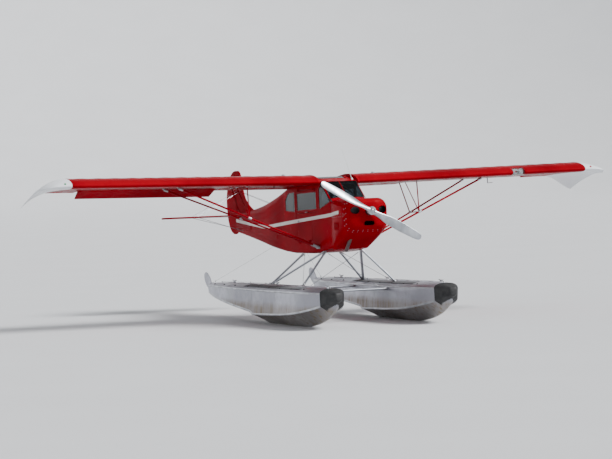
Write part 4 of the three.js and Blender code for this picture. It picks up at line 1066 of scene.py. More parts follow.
# A cloth covered tube frame: rings of the outline shrink towards its middle, and the half thickness rises as a quarter
# circle over the edge tube, tapers away from the hinge and sinks between the ribs.
def coveredFrame(outline, hinge, across, reach):
    centre = outline.mean(0)
    rings, halves, maps = [], [], []
    for s in 1 - np.linspace(0, 1, 34) ** 2.1 * 0.985:
        ring = centre + (outline - centre) * s
        inward = (1 - s) * np.linalg.norm(outline - centre, axis=1)
        edge = tail["edge"]
        over = np.sqrt(np.clip(1 - (1 - np.clip(inward / edge, 0, 1)) ** 2, 0, 1))
        taper = np.clip(np.abs(ring[:, 0] - hinge) / reach, 0, 1)
        half = over * (tail["thick"] / 2 * (1 - taper) + edge * 0.72 * taper)
        sag = tail["sag"] * np.sin(np.pi * ring[:, 1] / tail["bay"]) ** 2 * np.clip((inward - edge) / 0.05, 0, 1)
        rings.append(ring)
        halves.append(np.maximum(half - sag, 0.0004 * s))
        maps.append(columns(ring[:, 1] / tail["bay"], ring[:, 0]))
    top = [across(r, h) for r, h in zip(rings[::-1], halves[::-1])]
    bottom = [across(r, -h) for r, h in zip(rings, halves)]
    return skin(np.stack(top + bottom)), np.concatenate([np.stack(maps[::-1]), np.stack(maps)])


def standing(ring, h):
    return columns(ring[:, 0], h, ring[:, 1])


def lying(ring, h):
    return columns(ring[:, 0], ring[:, 1], tail["z"] + h)


for name, outlineRing, hinge, across, reach, node, body in (
        ("fin_skin", finOutline, tail["stern"], standing, 0.9, "fin", "airframe"),
        ("rudder_skin", rudderOutline, tail["rudderHinge"], standing, 0.5, "rudder", "rudder")):
    part, ribs = coveredFrame(outlineRing, hinge, across, reach)
    makePiece(name, part, finFabric if node == "fin" else redFabric, body, uv=ribs, stands=(node,))
part, ribs = coveredFrame(stabiliserOutline, tail["hinge"], lying, 0.7)
for side, s in sides:
    makePiece("stabiliser_skin_" + side, part, redFabric, uv=ribs, stands=("stabiliser_" + side,),
        flip=s < 0)
part, ribs = coveredFrame(elevatorOutline, tail["hinge"], lying, 0.45)
makePiece("elevator_skins", [part, flipped(part)], redFabric, "elevators",
    uv=np.concatenate([ribs, ribs]), stands=("elevators",))
makePiece("elevator_tube", rod((tail["hinge"], -0.11, tail["z"]), (tail["hinge"], 0.11, tail["z"]), 0.014, 20),
    strutEnamel, "elevators")

# Flat wires brace the stabiliser to the fin and to the body's foot, with a fork at either end.
wires, forks = [], []
for x, y, upX, upZ, downX, downZ in ((-4.42, 1.02, -4.72, 2.48, -4.42, 1.7),
        (tail["hinge"] + 0.05, 1.06, -4.86, 2.5, -4.78, 1.76)):
    for s in (-1, 1):
        for end in ((upX, 0.012 * s, upZ), (downX, 0.02 * s, downZ)):
            a, b = np.array((x, s * y, tail["z"])), np.array(end, float)
            wires.append(sweep(straight(a, b, 5), circle(0.004, 10, 0.45), (1, 0, 0)))
            for near, far in ((a, b), (b, a)):
                along = unit(far - near)
                forks.append(rod(near, near + along * 0.06, 0.0065, 10))
                forks.append(rod(near + along * 0.062, near + along * 0.10, 0.005, 6))
makePiece("tail_wires", wires, plainSteel)
makePiece("tail_wire_forks", forks, castAlloy)
print("tail made")

# Each float is a loft. u runs aft from the bow; the heights are the keel, chine, deck edge and crown, the widths the
# beam and deck.
floats = {
    "bow": 2.25, "y": 1.06, "step": 3.0, "keelHalf": 0.016, "crownHalf": 0.046,
    "u": [0, 0.09, 0.3, 0.65, 1.05, 1.45, 3.0, 3.002, 4.2, 5.1, 5.7],
    "keel": [0.47, 0.365, 0.222, 0.104, 0.03, 0.0, 0.0, 0.062, 0.222, 0.338, 0.424],
    "chine": [0.5, 0.455, 0.39, 0.318, 0.262, 0.226, 0.172, 0.214, 0.318, 0.402, 0.462],
    "beam": [0.06, 0.128, 0.22, 0.3, 0.346, 0.366, 0.37, 0.362, 0.33, 0.244, 0.128],
    "deck": [0.072, 0.138, 0.226, 0.296, 0.33, 0.344, 0.346, 0.346, 0.322, 0.25, 0.142],
    "edge": [0.59, 0.602, 0.612, 0.612, 0.606, 0.6, 0.592, 0.592, 0.59, 0.588, 0.584],
    "crown": [0.628, 0.662, 0.69, 0.702, 0.702, 0.694, 0.676, 0.676, 0.664, 0.648, 0.626],
    "hollow": 0.010, "rivetPitch": 0.042, "rivetRadius": 0.0042,
    "frames": [0.65, 1.05, 1.45, 1.95, 2.45, 3.05, 3.6, 4.2, 4.65, 5.1],
}
floatNames = ("keel", "chine", "beam", "deck", "edge", "crown")


# The sections at u: straight between the given stations near the step, smooth elsewhere.
def floatRows(u):
    u = np.asarray(u, float)
    table = np.stack([floats[name] for name in floatNames], 1)
    front = np.asarray(floats["u"]) <= floats["step"]
    rows = between(np.asarray(floats["u"])[front], table[front], u)
    rows[u > floats["step"]] = between(np.asarray(floats["u"])[~front], table[~front], u[u > floats["step"]])
    return rows


def crownAt(u):
    return floatRows([u])[0][5]


bottomShare, sideShare, deckShare = np.linspace(0, 1, 13), np.linspace(0, 1, 9)[1:], np.linspace(0, 1, 8)[1:]


# Half a hull's ring from the keel up the port side over the deck: a bottom hollowed by a half sine, a flat side and
# a deck crowned as a quarter ellipse.
def hullHalf(rows, hollow):
    keel, chine, beam, deck, edge, crown = (c[:, None] for c in np.asarray(rows).T)
    b, s, d = bottomShare[None], sideShare[None], np.radians(90) * deckShare[None]
    y0, top = np.minimum(floats["keelHalf"], beam * 0.4), np.minimum(floats["crownHalf"], deck * 0.6)
    y = np.concatenate([y0 + (beam - y0) * b, beam + (deck - beam) * s, top + (deck - top) * np.cos(d)], 1)
    sunk = hollow * np.sin(np.pi * b) * np.minimum(1, beam / 0.3)
    z = np.concatenate([keel + (chine - keel) * b + sunk, chine + (edge - chine) * s,
        edge + (crown - edge) * np.sin(d)], 1)
    return np.stack([y, z], -1)


# Whole rings, with the other half mirrored.
def floatRings(u):
    half = hullHalf(floatRows(u), floats["hollow"])
    ring = np.concatenate([half, half[:, ::-1] * [-1, 1]], 1)
    return columns((floats["bow"] - np.asarray(u))[:, None], ring[..., 0], ring[..., 1])


floatU = np.unique(np.concatenate([np.linspace(0, 0.3, 9), np.linspace(0.3, 1.45, 24), np.linspace(1.45, 3.0, 20),
                                   [3.002], np.linspace(3.06, 5.7, 40)]))
hull = floatRings(floatU)


# A place on the hull: u aft of the bow, part "bottom", "side" or "deck", share along that part.
def onHull(u, part, share):
    u, share = np.broadcast_arrays(np.asarray(u, float), np.asarray(share, float))
    keel, chine, beam, deck, edge, crown = floatRows(u).T
    if part == "bottom":
        y0 = np.minimum(floats["keelHalf"], beam * 0.4)
        y = y0 + (beam - y0) * share
        z = keel + (chine - keel) * share + floats["hollow"] * np.sin(np.pi * share) * np.minimum(1, beam / 0.3)
        normal = columns(0, chine - keel, y0 - beam)
    elif part == "side":
        y, z = beam + (deck - beam) * share, chine + (edge - chine) * share
        normal = columns(0, edge - chine, beam - deck)
    else:
        crownHalf = np.minimum(floats["crownHalf"], deck * 0.6)
        turn = np.radians(90) * share
        y, z = crownHalf + (deck - crownHalf) * np.cos(turn), edge + (crown - edge) * np.sin(turn)
        normal = columns(0, np.cos(turn) * (crown - edge), np.sin(turn) * (deck - crownHalf))
    return columns(floats["bow"] - u, y, z), unit(normal)


mirror = np.array([1, -1, 1])


# Rivets: rows of small domes, each with a few faces, on both halves of the hull.
def rivetRows():
    spots, normals = [], []
    along = np.arange(0.14, 5.66, floats["rivetPitch"])
    for part, share in (("side", 0.06), ("side", 0.94), ("deck", 0.07), ("bottom", 0.95), ("bottom", 0.06),
            ("deck", 0.86)):
        spot, normal = onHull(along, part, share)
        spots.append(spot)
        normals.append(normal)
    for u in floats["frames"]:
        for part, count in (("side", 9), ("deck", 8), ("bottom", 9)):
            for du in (-0.016, 0.016):
                spot, normal = onHull(np.full(count, u + du), part, np.linspace(0.08, 0.92, count))
                spots.append(spot)
                normals.append(normal)
    spots, normals = np.concatenate(spots), np.concatenate(normals)
    return np.concatenate([spots, spots * mirror]), np.concatenate([normals, normals * mirror])


# A flat strip along the hull's side, at this share of its height.
def hullStrip(share, width, thick):
    u = np.linspace(0.262, 5.68, 90)
    path, normal = onHull(u, "side", share)
    keep = np.abs(u - floats["step"] - 0.001) > 0.004
    return strip(path[keep], width, thick, tuple(np.median(normal, 0)))


def hullFrame(u):
    width, proud = 0.045, 0.0012
    ring = floatRings(np.array([u]))[0]
    lifted = floatRings(np.array([u - width / 2, u - width / 2, u + width / 2, u + width / 2]))
    centre = ring.mean(0)
    away = unit((ring - centre) * [0, 1, 1])
    bands = np.stack([lifted[0] - away * 0.002, lifted[1] + away * proud, lifted[2] + away * proud,
        lifted[3] - away * 0.002])
    return skin(np.concatenate([bands, bands[:1]]), caps=(False, False))


hatches = {"u": [0.78, 1.25, 1.7, 2.2, 3.3, 3.9, 4.4, 4.88], "radius": 0.062}
walkway = {"u0": 1.0, "u1": 3.55, "share": 0.62, "width": 0.15, "thick": 0.003}
rivetPart = domes(*rivetRows(), floats["rivetRadius"], 0.45, 5)
stripParts = []
for share, width, thick in ((0.0, 0.034, 0.010), (1.0, 0.030, 0.012)):
    stripParts.append(hullStrip(share, width, thick))
stripParts += [(p * mirror, f) for p, f in stripParts]
for u, raised in ((np.linspace(0.4, 2.995, 60), 0.006), (np.linspace(3.03, 5.6, 50), 0)):
    path = columns(floats["bow"] - u, 0, floatRows(u)[:, 0] + raised)
    stripParts.append(sweep(path, [(-0.012, 0.012), (-0.009, -0.0055), (0.009, -0.0055), (0.012, 0.012)], (0, 0, 1)))
bandParts = [hullFrame(u) for u in floats["frames"]]
hatchParts, capParts, boltParts = [], [], []
for u in hatches["u"]:
    spot = onHull([u], "deck", 0.93)[0][0]
    radius = hatches["radius"]
    shape = [(0, 0.006), (0.045, 0.0075), (0.058, 0.006), (radius, 0.0015), (radius + 0.004, -0.004), (0, -0.004)]
    hatchParts.append(turned(shape, (spot[0], 0, crownAt(u)), (0, 0, 1), 28))
    ringSpots = columns(spot[0] + 0.052 * np.cos(ovalTurn[::6]), 0.052 * np.sin(ovalTurn[::6]), crownAt(u) + 0.0066)
    boltParts.append(domes(ringSpots, np.tile([0, 0, 1], (8, 1)), 0.004, 0.4))
for u in (0.85, 1.35, 1.85, 2.35, 2.85, 3.35, 4.0, 4.6, 5.2):
    spot, normal = (found[0] for found in onHull([u], "deck", 0.45))
    for s in (1, -1):
        capParts.append(turned([(0, 0.010), (0.013, 0.009), (0.016, 0.004), (0.018, -0.003), (0, -0.003)],
            spot * [1, s, 1], normal * [1, s, 1], 16))

walkU = np.linspace(walkway["u0"], walkway["u1"], 60)
walkParts = []
for s in (1, -1):
    path, normal = onHull(walkU, "deck", walkway["share"])
    walkParts.append(strip(path * [1, s, 1], walkway["width"], walkway["thick"],
        tuple(np.median(normal, 0) * [1, s, 1])))
gritty, gritTree, gritShader, gritCoords = startMaterial("black non-slip tape", Base_Color=linear("#5a5c5f"),
    Roughness=0.9)
grit = noise(gritTree, gritCoords, 620, 2)
bumped(gritTree, gritShader, grit, 0.0006, 0.8)

floatMap = columns(floatU[:, None], ringLength(hull))
for side, sign in sides:
    move = np.array([0, sign * floats["y"], 0])

    # Nothing on a hull reaches below the floor that it stands on.
    def toSide(part):
        points, faces = together(part) if isinstance(part, list) else part
        return np.maximum(points + move, [-9, -9, 0]), faces

    makePiece("float_hull_" + side, toSide(skin(hull)), floatSheet, sharp=28, uv=floatMap,
        stands=("float_" + side,), where=onFloats)
    for name, part, finish, slotName, sharp in (
            ("float_strips_", stripParts, castAlloy, "float_alloy", 32),
            ("float_bands_", bandParts, floatSheet, "float_alloy", 28),
            ("float_rivets_", rivetPart, floatSheet, "float_alloy", 32),
            ("float_hatches_", hatchParts, deckSheet, "float_alloy", 32),
            ("float_hatch_screws_", boltParts, plainSteel, None, 32),
            ("float_pump_caps_", capParts, blackRubber, None, 32),
            ("float_walkways_", walkParts, gritty, None, 32)):
        makePiece(name + side, toSide(part), finish, sharp=sharp, where=onFloats)

# A rubber boot over each bow: the hull's sections grown outwards, with moulded ribs, closed ahead by a quarter ellipse.
boot = {
    "u": [-0.03, 0.0, 0.09, 0.25], "grow": 0.0155, "rib": 0.0016, "pitch": 0.024,
    "rows": [(0.49, 0.512, 0.046, 0.054, 0.587, 0.615), (0.47, 0.5, 0.06, 0.072, 0.59, 0.628),
             (0.395, 0.455, 0.128, 0.138, 0.602, 0.662), (0.284, 0.405, 0.205, 0.212, 0.6125, 0.684)],
}


def bootRing(row):
    half = hullHalf([row], 0.0)[0]
    ring = np.concatenate([half, half[::-1] * [-1, 1]])
    tangent = np.roll(ring, -1, 0) - np.roll(ring, 1, 0)
    return ring, unit(columns(tangent[:, 1], -tangent[:, 0]))


bootU = np.concatenate([np.linspace(0.25, 0.0, 64), np.linspace(0.0, -0.03, 9)[1:]])
bootRings = []
for u, row in zip(bootU, between(boot["u"], boot["rows"], bootU)):
    ring, normal = bootRing(row)
    starts = min(1, max(0, (u + 0.01) / 0.04))
    wave = boot["rib"] * np.clip(2.2 * math.cos(2 * math.pi * u / boot["pitch"]), -1, 1) * starts
    edge = min(1, (0.25 - u) / 0.004)
    ring = ring + normal * (boot["grow"] - boot["rib"] + wave) * (0.1 + 0.9 * edge)
    bootRings.append(columns(floats["bow"] - u, ring[:, 0], ring[:, 1]))
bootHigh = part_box("bow_bumper_left")[1]
ahead = bootHigh[0] - airframe["shift"] - bootRings[-1][0, 0]
for turn in np.radians(np.linspace(0, 90, 11)[1:]):
    ring = bootRings[len(bootU) - 1].copy()
    middle = ring[:, 1:].mean(0)
    ring[:, 1:] = middle + (ring[:, 1:] - middle) * max(0.04, math.cos(turn)) ** 0.75
    ring[:, 0] += ahead * math.sin(turn)
    bootRings.append(ring)
bootPart = skin(np.stack(bootRings))

# Deck cleats.
cleatParts = []
horns = ((-0.085, 0.046), (-0.05, 0.040), (0, 0.037), (0.05, 0.040), (0.085, 0.046))
for u in (0.42, 2.65, 4.7):
    x = floats["bow"] - u
    base = crownAt(u)
    cleatParts.append(tube([(x + dx, 0, base + dz) for dx, dz in horns], 0.009, 14, (0, 1, 0)))
    for dx in (-0.028, 0.028):
        cleatParts.append(turned([(0.016, -0.004), (0.015, 0.003), (0.010, 0.010), (0.009, 0.034), (0, 0.036)],
            (x + dx, 0, base), (0, 0, 1), 14))
for side, sign in sides:
    move = [0, sign * floats["y"], 0]
    makePiece("float_cleats_" + side, [(p + move, f) for p, f in cleatParts], castAlloy,
        where=onFloats)
    makePiece("bow_boot_" + side, (bootPart[0] + move, bootPart[1]), blackRubber, sharp=50,
        stands=("bow_bumper_" + side,), where=onFloats)
    dressNode("water_rudder_bracket_" + side, castAlloy, bevel=0.002)
    dressNode("water_rudder_" + side, floatSheet, "water_rudder_" + side, 0.0015)
print("floats made")

gear = {
    "foot": (0.33, -1.1), "top": ((0.06, 0.33, 1.262), (-0.9, 0.33, 1.25)), "y": 0.9, "deckZ": 0.65,
    "bar": (0.072, 0.034), "brace": (0.062, 0.03), "spreaderZ": 0.56, "spreader": (0.092, 0.042),
}


# The outline of a streamlined tube, (across, along the flow): blunt ahead, drawn out aft.
def teardrop(long, wide, count=28):
    a = np.linspace(0, 2 * np.pi, count, endpoint=False)
    c = np.cos(a)
    return columns(np.sin(a) * wide / 2 * (1 + 0.45 * c) / 1.12, c * long / 2)


# That outline along a path, its long axis lying fore and aft.
def streamlined(path, along, long, wide, scale=None):
    return sweep(path, teardrop(long, wide), tuple(unit(np.array([1.0, 0, 0]) - along * along[0])), scale=scale)


def strut(a, b, long, wide):
    a, b = np.asarray(a, float), np.asarray(b, float)
    return streamlined(straight(a, b, 13), unit(b - a), long, wide)


# A cuff where a strut meets its fitting: a short, slightly larger length of the same section, tapering into it.
def cuff(a, b, long, wide, length=0.07):
    along = unit(np.asarray(b, float) - a)
    path = a + along * (length * np.linspace(0, 1, 7))[:, None]
    return streamlined(path, along, long * 1.12, wide * 1.25, [1, 1, 1, 0.99, 0.97, 0.93, 0.89])


def boss(spot, axis, radius=0.022, wide=0.05):
    return turned([(0, wide / 2 + 0.008), (0.009, wide / 2 + 0.007), (0.010, wide / 2), (radius, wide / 2),
        (radius, -wide / 2),
                   (0.010, -wide / 2), (0.009, -wide / 2 - 0.010), (0, -wide / 2 - 0.011)], spot, axis, 20)


floatPoint = [np.array([x, gear["y"], gear["deckZ"] + 0.004]) for x in gear["foot"]]
topPoint = [onAirframe(t) - onFloats(np.zeros(3)) for t in gear["top"]]
barParts, barEnds, wireParts, wireEnds = [], [], [], []
for s in (1, -1):
    flip = np.array([1, s, 1])
    front, rear = floatPoint[0] * flip, floatPoint[1] * flip
    high, highRear = topPoint[0] * flip, topPoint[1] * flip
    for a, b, size in ((front, high, gear["bar"]), (rear, highRear, gear["bar"]), (rear, high, gear["brace"])):
        along = unit(b - a)
        barParts.append(strut(a + along * 0.01, b - along * 0.03, *size))
        barEnds += [cuff(a + along * 0.012, b, *size), cuff(b - along * 0.032, a, *size)]
    for a in (front, rear):
        barEnds.append(boss(a + [0, 0, 0.02], (1, 0, 0), 0.020, 0.075))
        plate = [(-0.045, -0.028), (0.045, -0.028), (0.045, 0.028), (-0.045, 0.028)]
        barEnds.append(sweep(np.array([a - [0, 0, 0.012], a + [0, 0, 0.003]]), plate, (1, 0, 0)))
    frontBar, farTop = np.array([0.0, s * 0.72, gear["spreaderZ"] + 0.02]), high * [1, -1, 1] - [0, 0, 0.03]
    for a, b in ((front + [0, -0.02 * s, 0.01], highRear), (frontBar, farTop)):
        along = unit(b - a)
        start, end = a + along * 0.05, b - along * 0.10
        wireParts.append(sweep(straight(start, end, 5), circle(0.004, 10, 0.5), (1, 0, 0)))
        for near, far in ((start, end), (end, start)):
            toward = unit(far - near)
            wireEnds.append(rod(near - toward * 0.05, near + toward * 0.05, 0.0065, 10))
for side, s in sides:
    bars = [p for p in barParts if np.sign(p[0][:, 1].mean()) == s]
    makePiece("float_bars_" + side, bars, greyEnamel, stands=("float_struts_" + side,),
        where=onFloats)
    ends = [p for p in barEnds if np.sign(p[0][:, 1].mean()) == s]
    makePiece("float_bar_fittings_" + side, ends, castAlloy, where=onFloats)
makePiece("float_wires", wireParts, plainSteel, where=onFloats)
makePiece("float_wire_forks", wireEnds, castAlloy, where=onFloats)
for name in ("spreader_bar_front", "spreader_bar_rear"):
    low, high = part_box(name)
    y1, y0 = high[1], low[1]
    xMiddle, z = (low[0] + high[0]) / 2, (low[2] + high[2]) / 2
    bar = sweep(columns(xMiddle, np.linspace(y0, y1, 25), z), teardrop(*gear["spreader"]), (1, 0, 0))
    makePiece(name + "_tube", bar, greyEnamel, stands=(name,), where=asGiven)
    plates = []
    for y in (y0, y1):
        profile = teardrop(gear["spreader"][0] * 1.14, gear["spreader"][1] * 1.3)
        path = columns(xMiddle, np.linspace(y, y + math.copysign(0.09, -y), 5), z)
        plates.append(sweep(path, profile, (1, 0, 0), scale=[1, 1, 1, 0.96, 0.88]))
    makePiece(name + "_collars", plates, castAlloy, where=asGiven)

lift = {
    "foot": (-0.165, 0.354, 1.32), "footAft": (-0.225, 0.354, 1.32), "top": (-0.265, 2.9), "topAft": (-1.01, 2.9),
    "front": (0.076, 0.034), "aft": (0.062, 0.03), "jury": 0.5,
}


# A place on the wing's skin, on the unpitched airframe: its top for side 1, its underside for side -1.
def onWing(x, y, side):
    ring = wingPoints(np.linspace(0, 1, 60) ** 1.3, side, abs(y))
    return np.array([x, y, np.interp(-x, -ring[:, 0], ring[:, 2])])


def underWing(x, y, gap=0.004):
    return onWing(x, y, -1) - [0, 0, gap]


liftParts, liftFittings = [], []
footA, footB = np.array(lift["foot"]), np.array(lift["footAft"])
headA, headB = underWing(*lift["top"], 0.018), underWing(*lift["topAft"], 0.018)
outA, outB = unit(headA - footA), unit(headB - footB)
liftParts += [strut(footA + outA * 0.045, headA, *lift["front"]), strut(footB + outB * 0.045, headB, *lift["aft"])]
liftFittings += [
    cuff(footA + outA * 0.03, headA, *lift["front"], 0.11), cuff(footB + outB * 0.03, headB, *lift["aft"], 0.11),
    cuff(headA, footA, *lift["front"], 0.08), cuff(headB, footB, *lift["aft"], 0.08)]
midA, midB = footA + (headA - footA) * lift["jury"], footB + (headB - footB) * lift["jury"]
aboveA, aboveB = underWing(lift["top"][0], midA[1]), underWing(lift["topAft"][0], midB[1])
cross = underWing(lift["topAft"][0] + 0.25, midB[1])
for a, b, radius in ((midA, midB, 0.010), (midA, aboveA, 0.0105), (midB, aboveB, 0.0105), (midA, cross, 0.008)):
    liftParts.append(rod(a, b, radius, 16))
for spot, long, wide, along in ((midA, *lift["front"], outA), (midB, *lift["aft"], outB)):
    path = spot + along * np.linspace(-0.03, 0.03, 5)[:, None]
    liftFittings.append(streamlined(path, along, long * 1.1, wide * 1.3, [0.94, 1, 1, 1, 0.94]))
shape = [(0.030, 0.0025), (0.029, -0.001), (0.020, -0.004), (0.013, -0.014), (0, -0.016)]
for x, y in (aboveA[:2], aboveB[:2], cross[:2], lift["top"], lift["topAft"]):
    liftFittings.append(turned(shape, onWing(x, y, -1), (0, 0, 1), 20))
footMid = (footA + footB) / 2
shoe = footMid + np.array([[-0.075, 0.004, 0], [-0.05, 0.012, 0], [0.05, 0.012, 0], [0.075, 0.004, 0]])
liftFittings.append(sweep(shoe, circle(0.024, 16, 0.6), (0, 1, 0)))
liftFittings += [boss(spot, (1, 0, 0), 0.015, 0.05) for spot in (footA + outA * 0.03, footB + outB * 0.03)]
for side, s in sides:
    for name, parts, finish, stands in (("lift_strut_tubes_", liftParts, strutEnamel, ("lift_struts_" + side,)),
            ("lift_strut_fittings_", liftFittings, castAlloy, ())):
        makePiece(name + side, parts, finish, stands=stands, flip=s < 0)
print("struts made")

propeller = {
    "hub": (1.34, 1.9), "parked": 29, "sections": [
        (0.05, 0.096, 0.084, 62), (0.1, 0.104, 0.072, 57), (0.17, 0.118, 0.058, 52), (0.33, 0.158, 0.034, 38),
        (0.56, 0.166, 0.023, 27), (0.8, 0.148, 0.016, 20), (0.97, 0.118, 0.011, 16), (1.01, 0.096, 0.0095, 15.2),
        (1.03, 0.07, 0.008, 15), (1.039, 0.036, 0.006, 15)],
}


# One blade, pointing up: cambered sections whose chord, thickness and pitch follow the table, smooth along the radius.
def bladePart():
    radii = np.concatenate([np.linspace(0.05, 0.97, 48), np.linspace(0.975, 1.039, 14)])
    table = np.array(propeller["sections"])
    rows = between(table[:, 0], table[:, 1:], radii)
    a = np.linspace(0, 2 * np.pi, 40, endpoint=False)
    lead, up = np.cos(a), np.sin(a)
    rings = []
    for radius, (chord, thick, pitch) in zip(radii, rows):
        shank = np.clip((0.30 - radius) / 0.2, 0, 1)
        along = lead * chord / 2
        full = np.where(up > 0, 1.22, 0.62) * (1 - shank) + shank
        deep = up * thick / 2 * full * (1 + 0.22 * lead * (1 - shank)) + chord * 0.035 * (1 - lead**2) * (1 - shank)
        turn = math.radians(pitch)
        c, s = math.cos(turn), math.sin(turn)
        rings.append(columns(along * s + deep * c, -along * c + deep * s, radius))
    return skin(np.stack(rings))


def onHub(points, degrees):
    c, s = math.cos(math.radians(degrees)), math.sin(math.radians(degrees))
    x, y, z = np.asarray(points, float).T
    return columns(propeller["hub"][0] + x, y * c - z * s, propeller["hub"][1] + y * s + z * c)


blades = [placed(bladePart(), lambda p, d=degrees: onHub(p, d))
    for degrees in (90 - propeller["parked"], -90 - propeller["parked"])]
hubX, hubZ = propeller["hub"]
hubShape = [(0, 0.058), (0.020, 0.056), (0.028, 0.050), (0.034, 0.040), (0.070, 0.036), (0.074, 0.030), (0.074, -0.030),
            (0.066, -0.038), (0.060, -0.060), (0, -0.060)]
hubPart = turned(hubShape, (hubX, 0, hubZ), (1, 0, 0), 40)
boltParts = []
for k in range(6):
    turn = math.radians(60 * k + 30)
    spot = np.array([hubX + 0.036, 0.052 * math.cos(turn), hubZ + 0.052 * math.sin(turn)])
    boltParts.append(turned([(0, 0.012), (0.007, 0.011), (0.0085, 0.008), (0.0085, -0.004), (0, -0.004)], spot,
        (1, 0, 0), 6))
    boltParts.append(turned([(0, 0.0185), (0.0045, 0.0175), (0.0045, 0.0), (0, 0.0)], spot, (1, 0, 0), 10))
makePiece("propeller_blades", blades, polishedBlade, "propeller", sharp=40, stands=("propeller",))
makePiece("propeller_hub", hubPart, castAlloy, "propeller")
makePiece("propeller_bolts", boltParts, plainSteel, "propeller")
print("propeller made")

# Nodes that keep their own shape, with a finish and softened edges.
dressNode("exhaust_pipe", hotSteel, bevel=0.002)
dressNode("engine", engineCast, bevel=0.003)
dressNode("cabin_floor", plainFinish("painted plywood", "#5d5f63", "#505256", (0.6, 0.75), 0.0, 26, 0.0005),
    bevel=0.002)
dressNode("instrument_panel", blackPanel, bevel=0.003)
dressNode("control_sticks", blackPanel, bevel=0.002)
dressNode("antenna", whitePlastic, bevel=0.0008)
print("fittings made")

# Seat pads as (centre, size, tilt in degrees, node, direction of the sewn channels): each is blown up as cloth.
seats = {
    "pads": [
        ("seat_front_cushion", (-0.628, 0, 1.533), (0.420, 0.400, 0.066), 0, "seat_front", (1, 0, 0)),
        ("seat_front_back", (-0.917, 0, 1.800), (0.052, 0.380, 0.520), 10.4, "seat_front", (0, 0, 1)),
        ("seat_rear_cushion", (-1.388, 0, 1.503), (0.320, 0.440, 0.066), 0, "seat_rear", (1, 0, 0)),
        ("seat_rear_back", (-1.598, 0, 1.748), (0.052, 0.420, 0.470), 7.5, "seat_rear", (0, 0, 1)),
    ],
    "voxel": 0.006, "pressure": 4.0, "cap": 0.007, "channel": 0.075, "groove": 0.003, "fill": 0.75, "tube": 0.0125,
}


# A block whose corners are rounded: each direction of a grid on a sphere is pushed out by a high power mean.
def roundedBlock(size, power=7.0):
    u = np.linspace(0, 2 * np.pi, 48, endpoint=False)[None]
    v = np.linspace(-np.pi / 2, np.pi / 2, 25)[1:-1, None]
    d = columns(np.cos(v) * np.cos(u), np.cos(v) * np.sin(u), np.sin(v))
    reach = np.sum(np.abs(d) ** power, -1, keepdims=True) ** (-1 / power)
    return skin(d * reach * np.asarray(size) / 2)


# The pad as remeshed cloth under pressure, no point moved further than the cap.
def swollen(piece):
    scene = bpy.context.scene
    remesh = piece.modifiers.new("remesh", "REMESH")
    remesh.mode, remesh.voxel_size = "VOXEL", seats["voxel"]
    bpy.context.view_layer.update()
    start = asShown(piece)
    piece.modifiers.remove(remesh)
    piece.data = start
    cloth = piece.modifiers.new("cloth", "CLOTH")
    cloth.settings.use_pressure = True
    cloth.settings.uniform_pressure_force = seats["pressure"]
    cloth.settings.effector_weights.gravity = 0
    cloth.settings.quality = 4
    for number in range(1, 21):
        scene.frame_set(number)
    moved = asShown(piece)
    piece.modifiers.remove(cloth)
    scene.frame_set(1)
    before = meshArray(start)
    step = meshArray(moved) - before
    length = np.linalg.norm(step, axis=1, keepdims=True)
    step *= np.minimum(1, seats["cap"] / np.maximum(length, 1e-9))
    start.vertices.foreach_set("co", (before + step).ravel())
    start.update()


# Presses the sewn channels in: the surface sinks by a narrow bell across each line.
def channelled(piece, centre, along):
    mesh = piece.data
    points, normals = meshArray(mesh), meshArray(mesh, "normal")
    offset = (points - centre) @ unit(np.asarray(along, float))
    away = np.abs((offset / seats["channel"] + 0.5) % 1 - 0.5) * seats["channel"]
    face = 1 - np.abs(normals @ unit(np.asarray(along, float)))
    points -= normals * (seats["groove"] * np.exp(-(away / 0.005) ** 2) * face)[:, None]
    mesh.vertices.foreach_set("co", points.ravel())
    mesh.update()


# Woven tweed upholstery, 1.2 mm yarn in the real cloth and drawn at 4 mm so that it shows, with a slight sheen.
tweed, tweedTree, tweedShader, tweedCoords = startMaterial("woven grey tweed", Sheen_Weight=0.35, Sheen_Roughness=0.5,
    Specular_IOR_Level=0.2)
yarn = sums(tweedTree, "MULTIPLY", *threads(tweedTree, tweedCoords, 78.0, 1.4, "YZ"))
fleck = ramped(tweedTree, noise(tweedTree, tweedCoords, 260, 3), 0.45, 0.62)
tweedBase = mixed(tweedTree, fleck, linear("#55565b"), linear("#36373c"))
tweedDust = ramped(tweedTree, noise(tweedTree, tweedCoords, 5, 4), 0.4, 0.75, 0, 0.5)
tweedTone = mixed(tweedTree, tweedDust, tweedBase, linear("#6a675f"))
feed(tweedTree, tweedShader, tweedTone, ramped(tweedTree, yarn, 0, 1, 0.75, 0.92))
bumped(tweedTree, tweedShader, yarn, 0.0012)

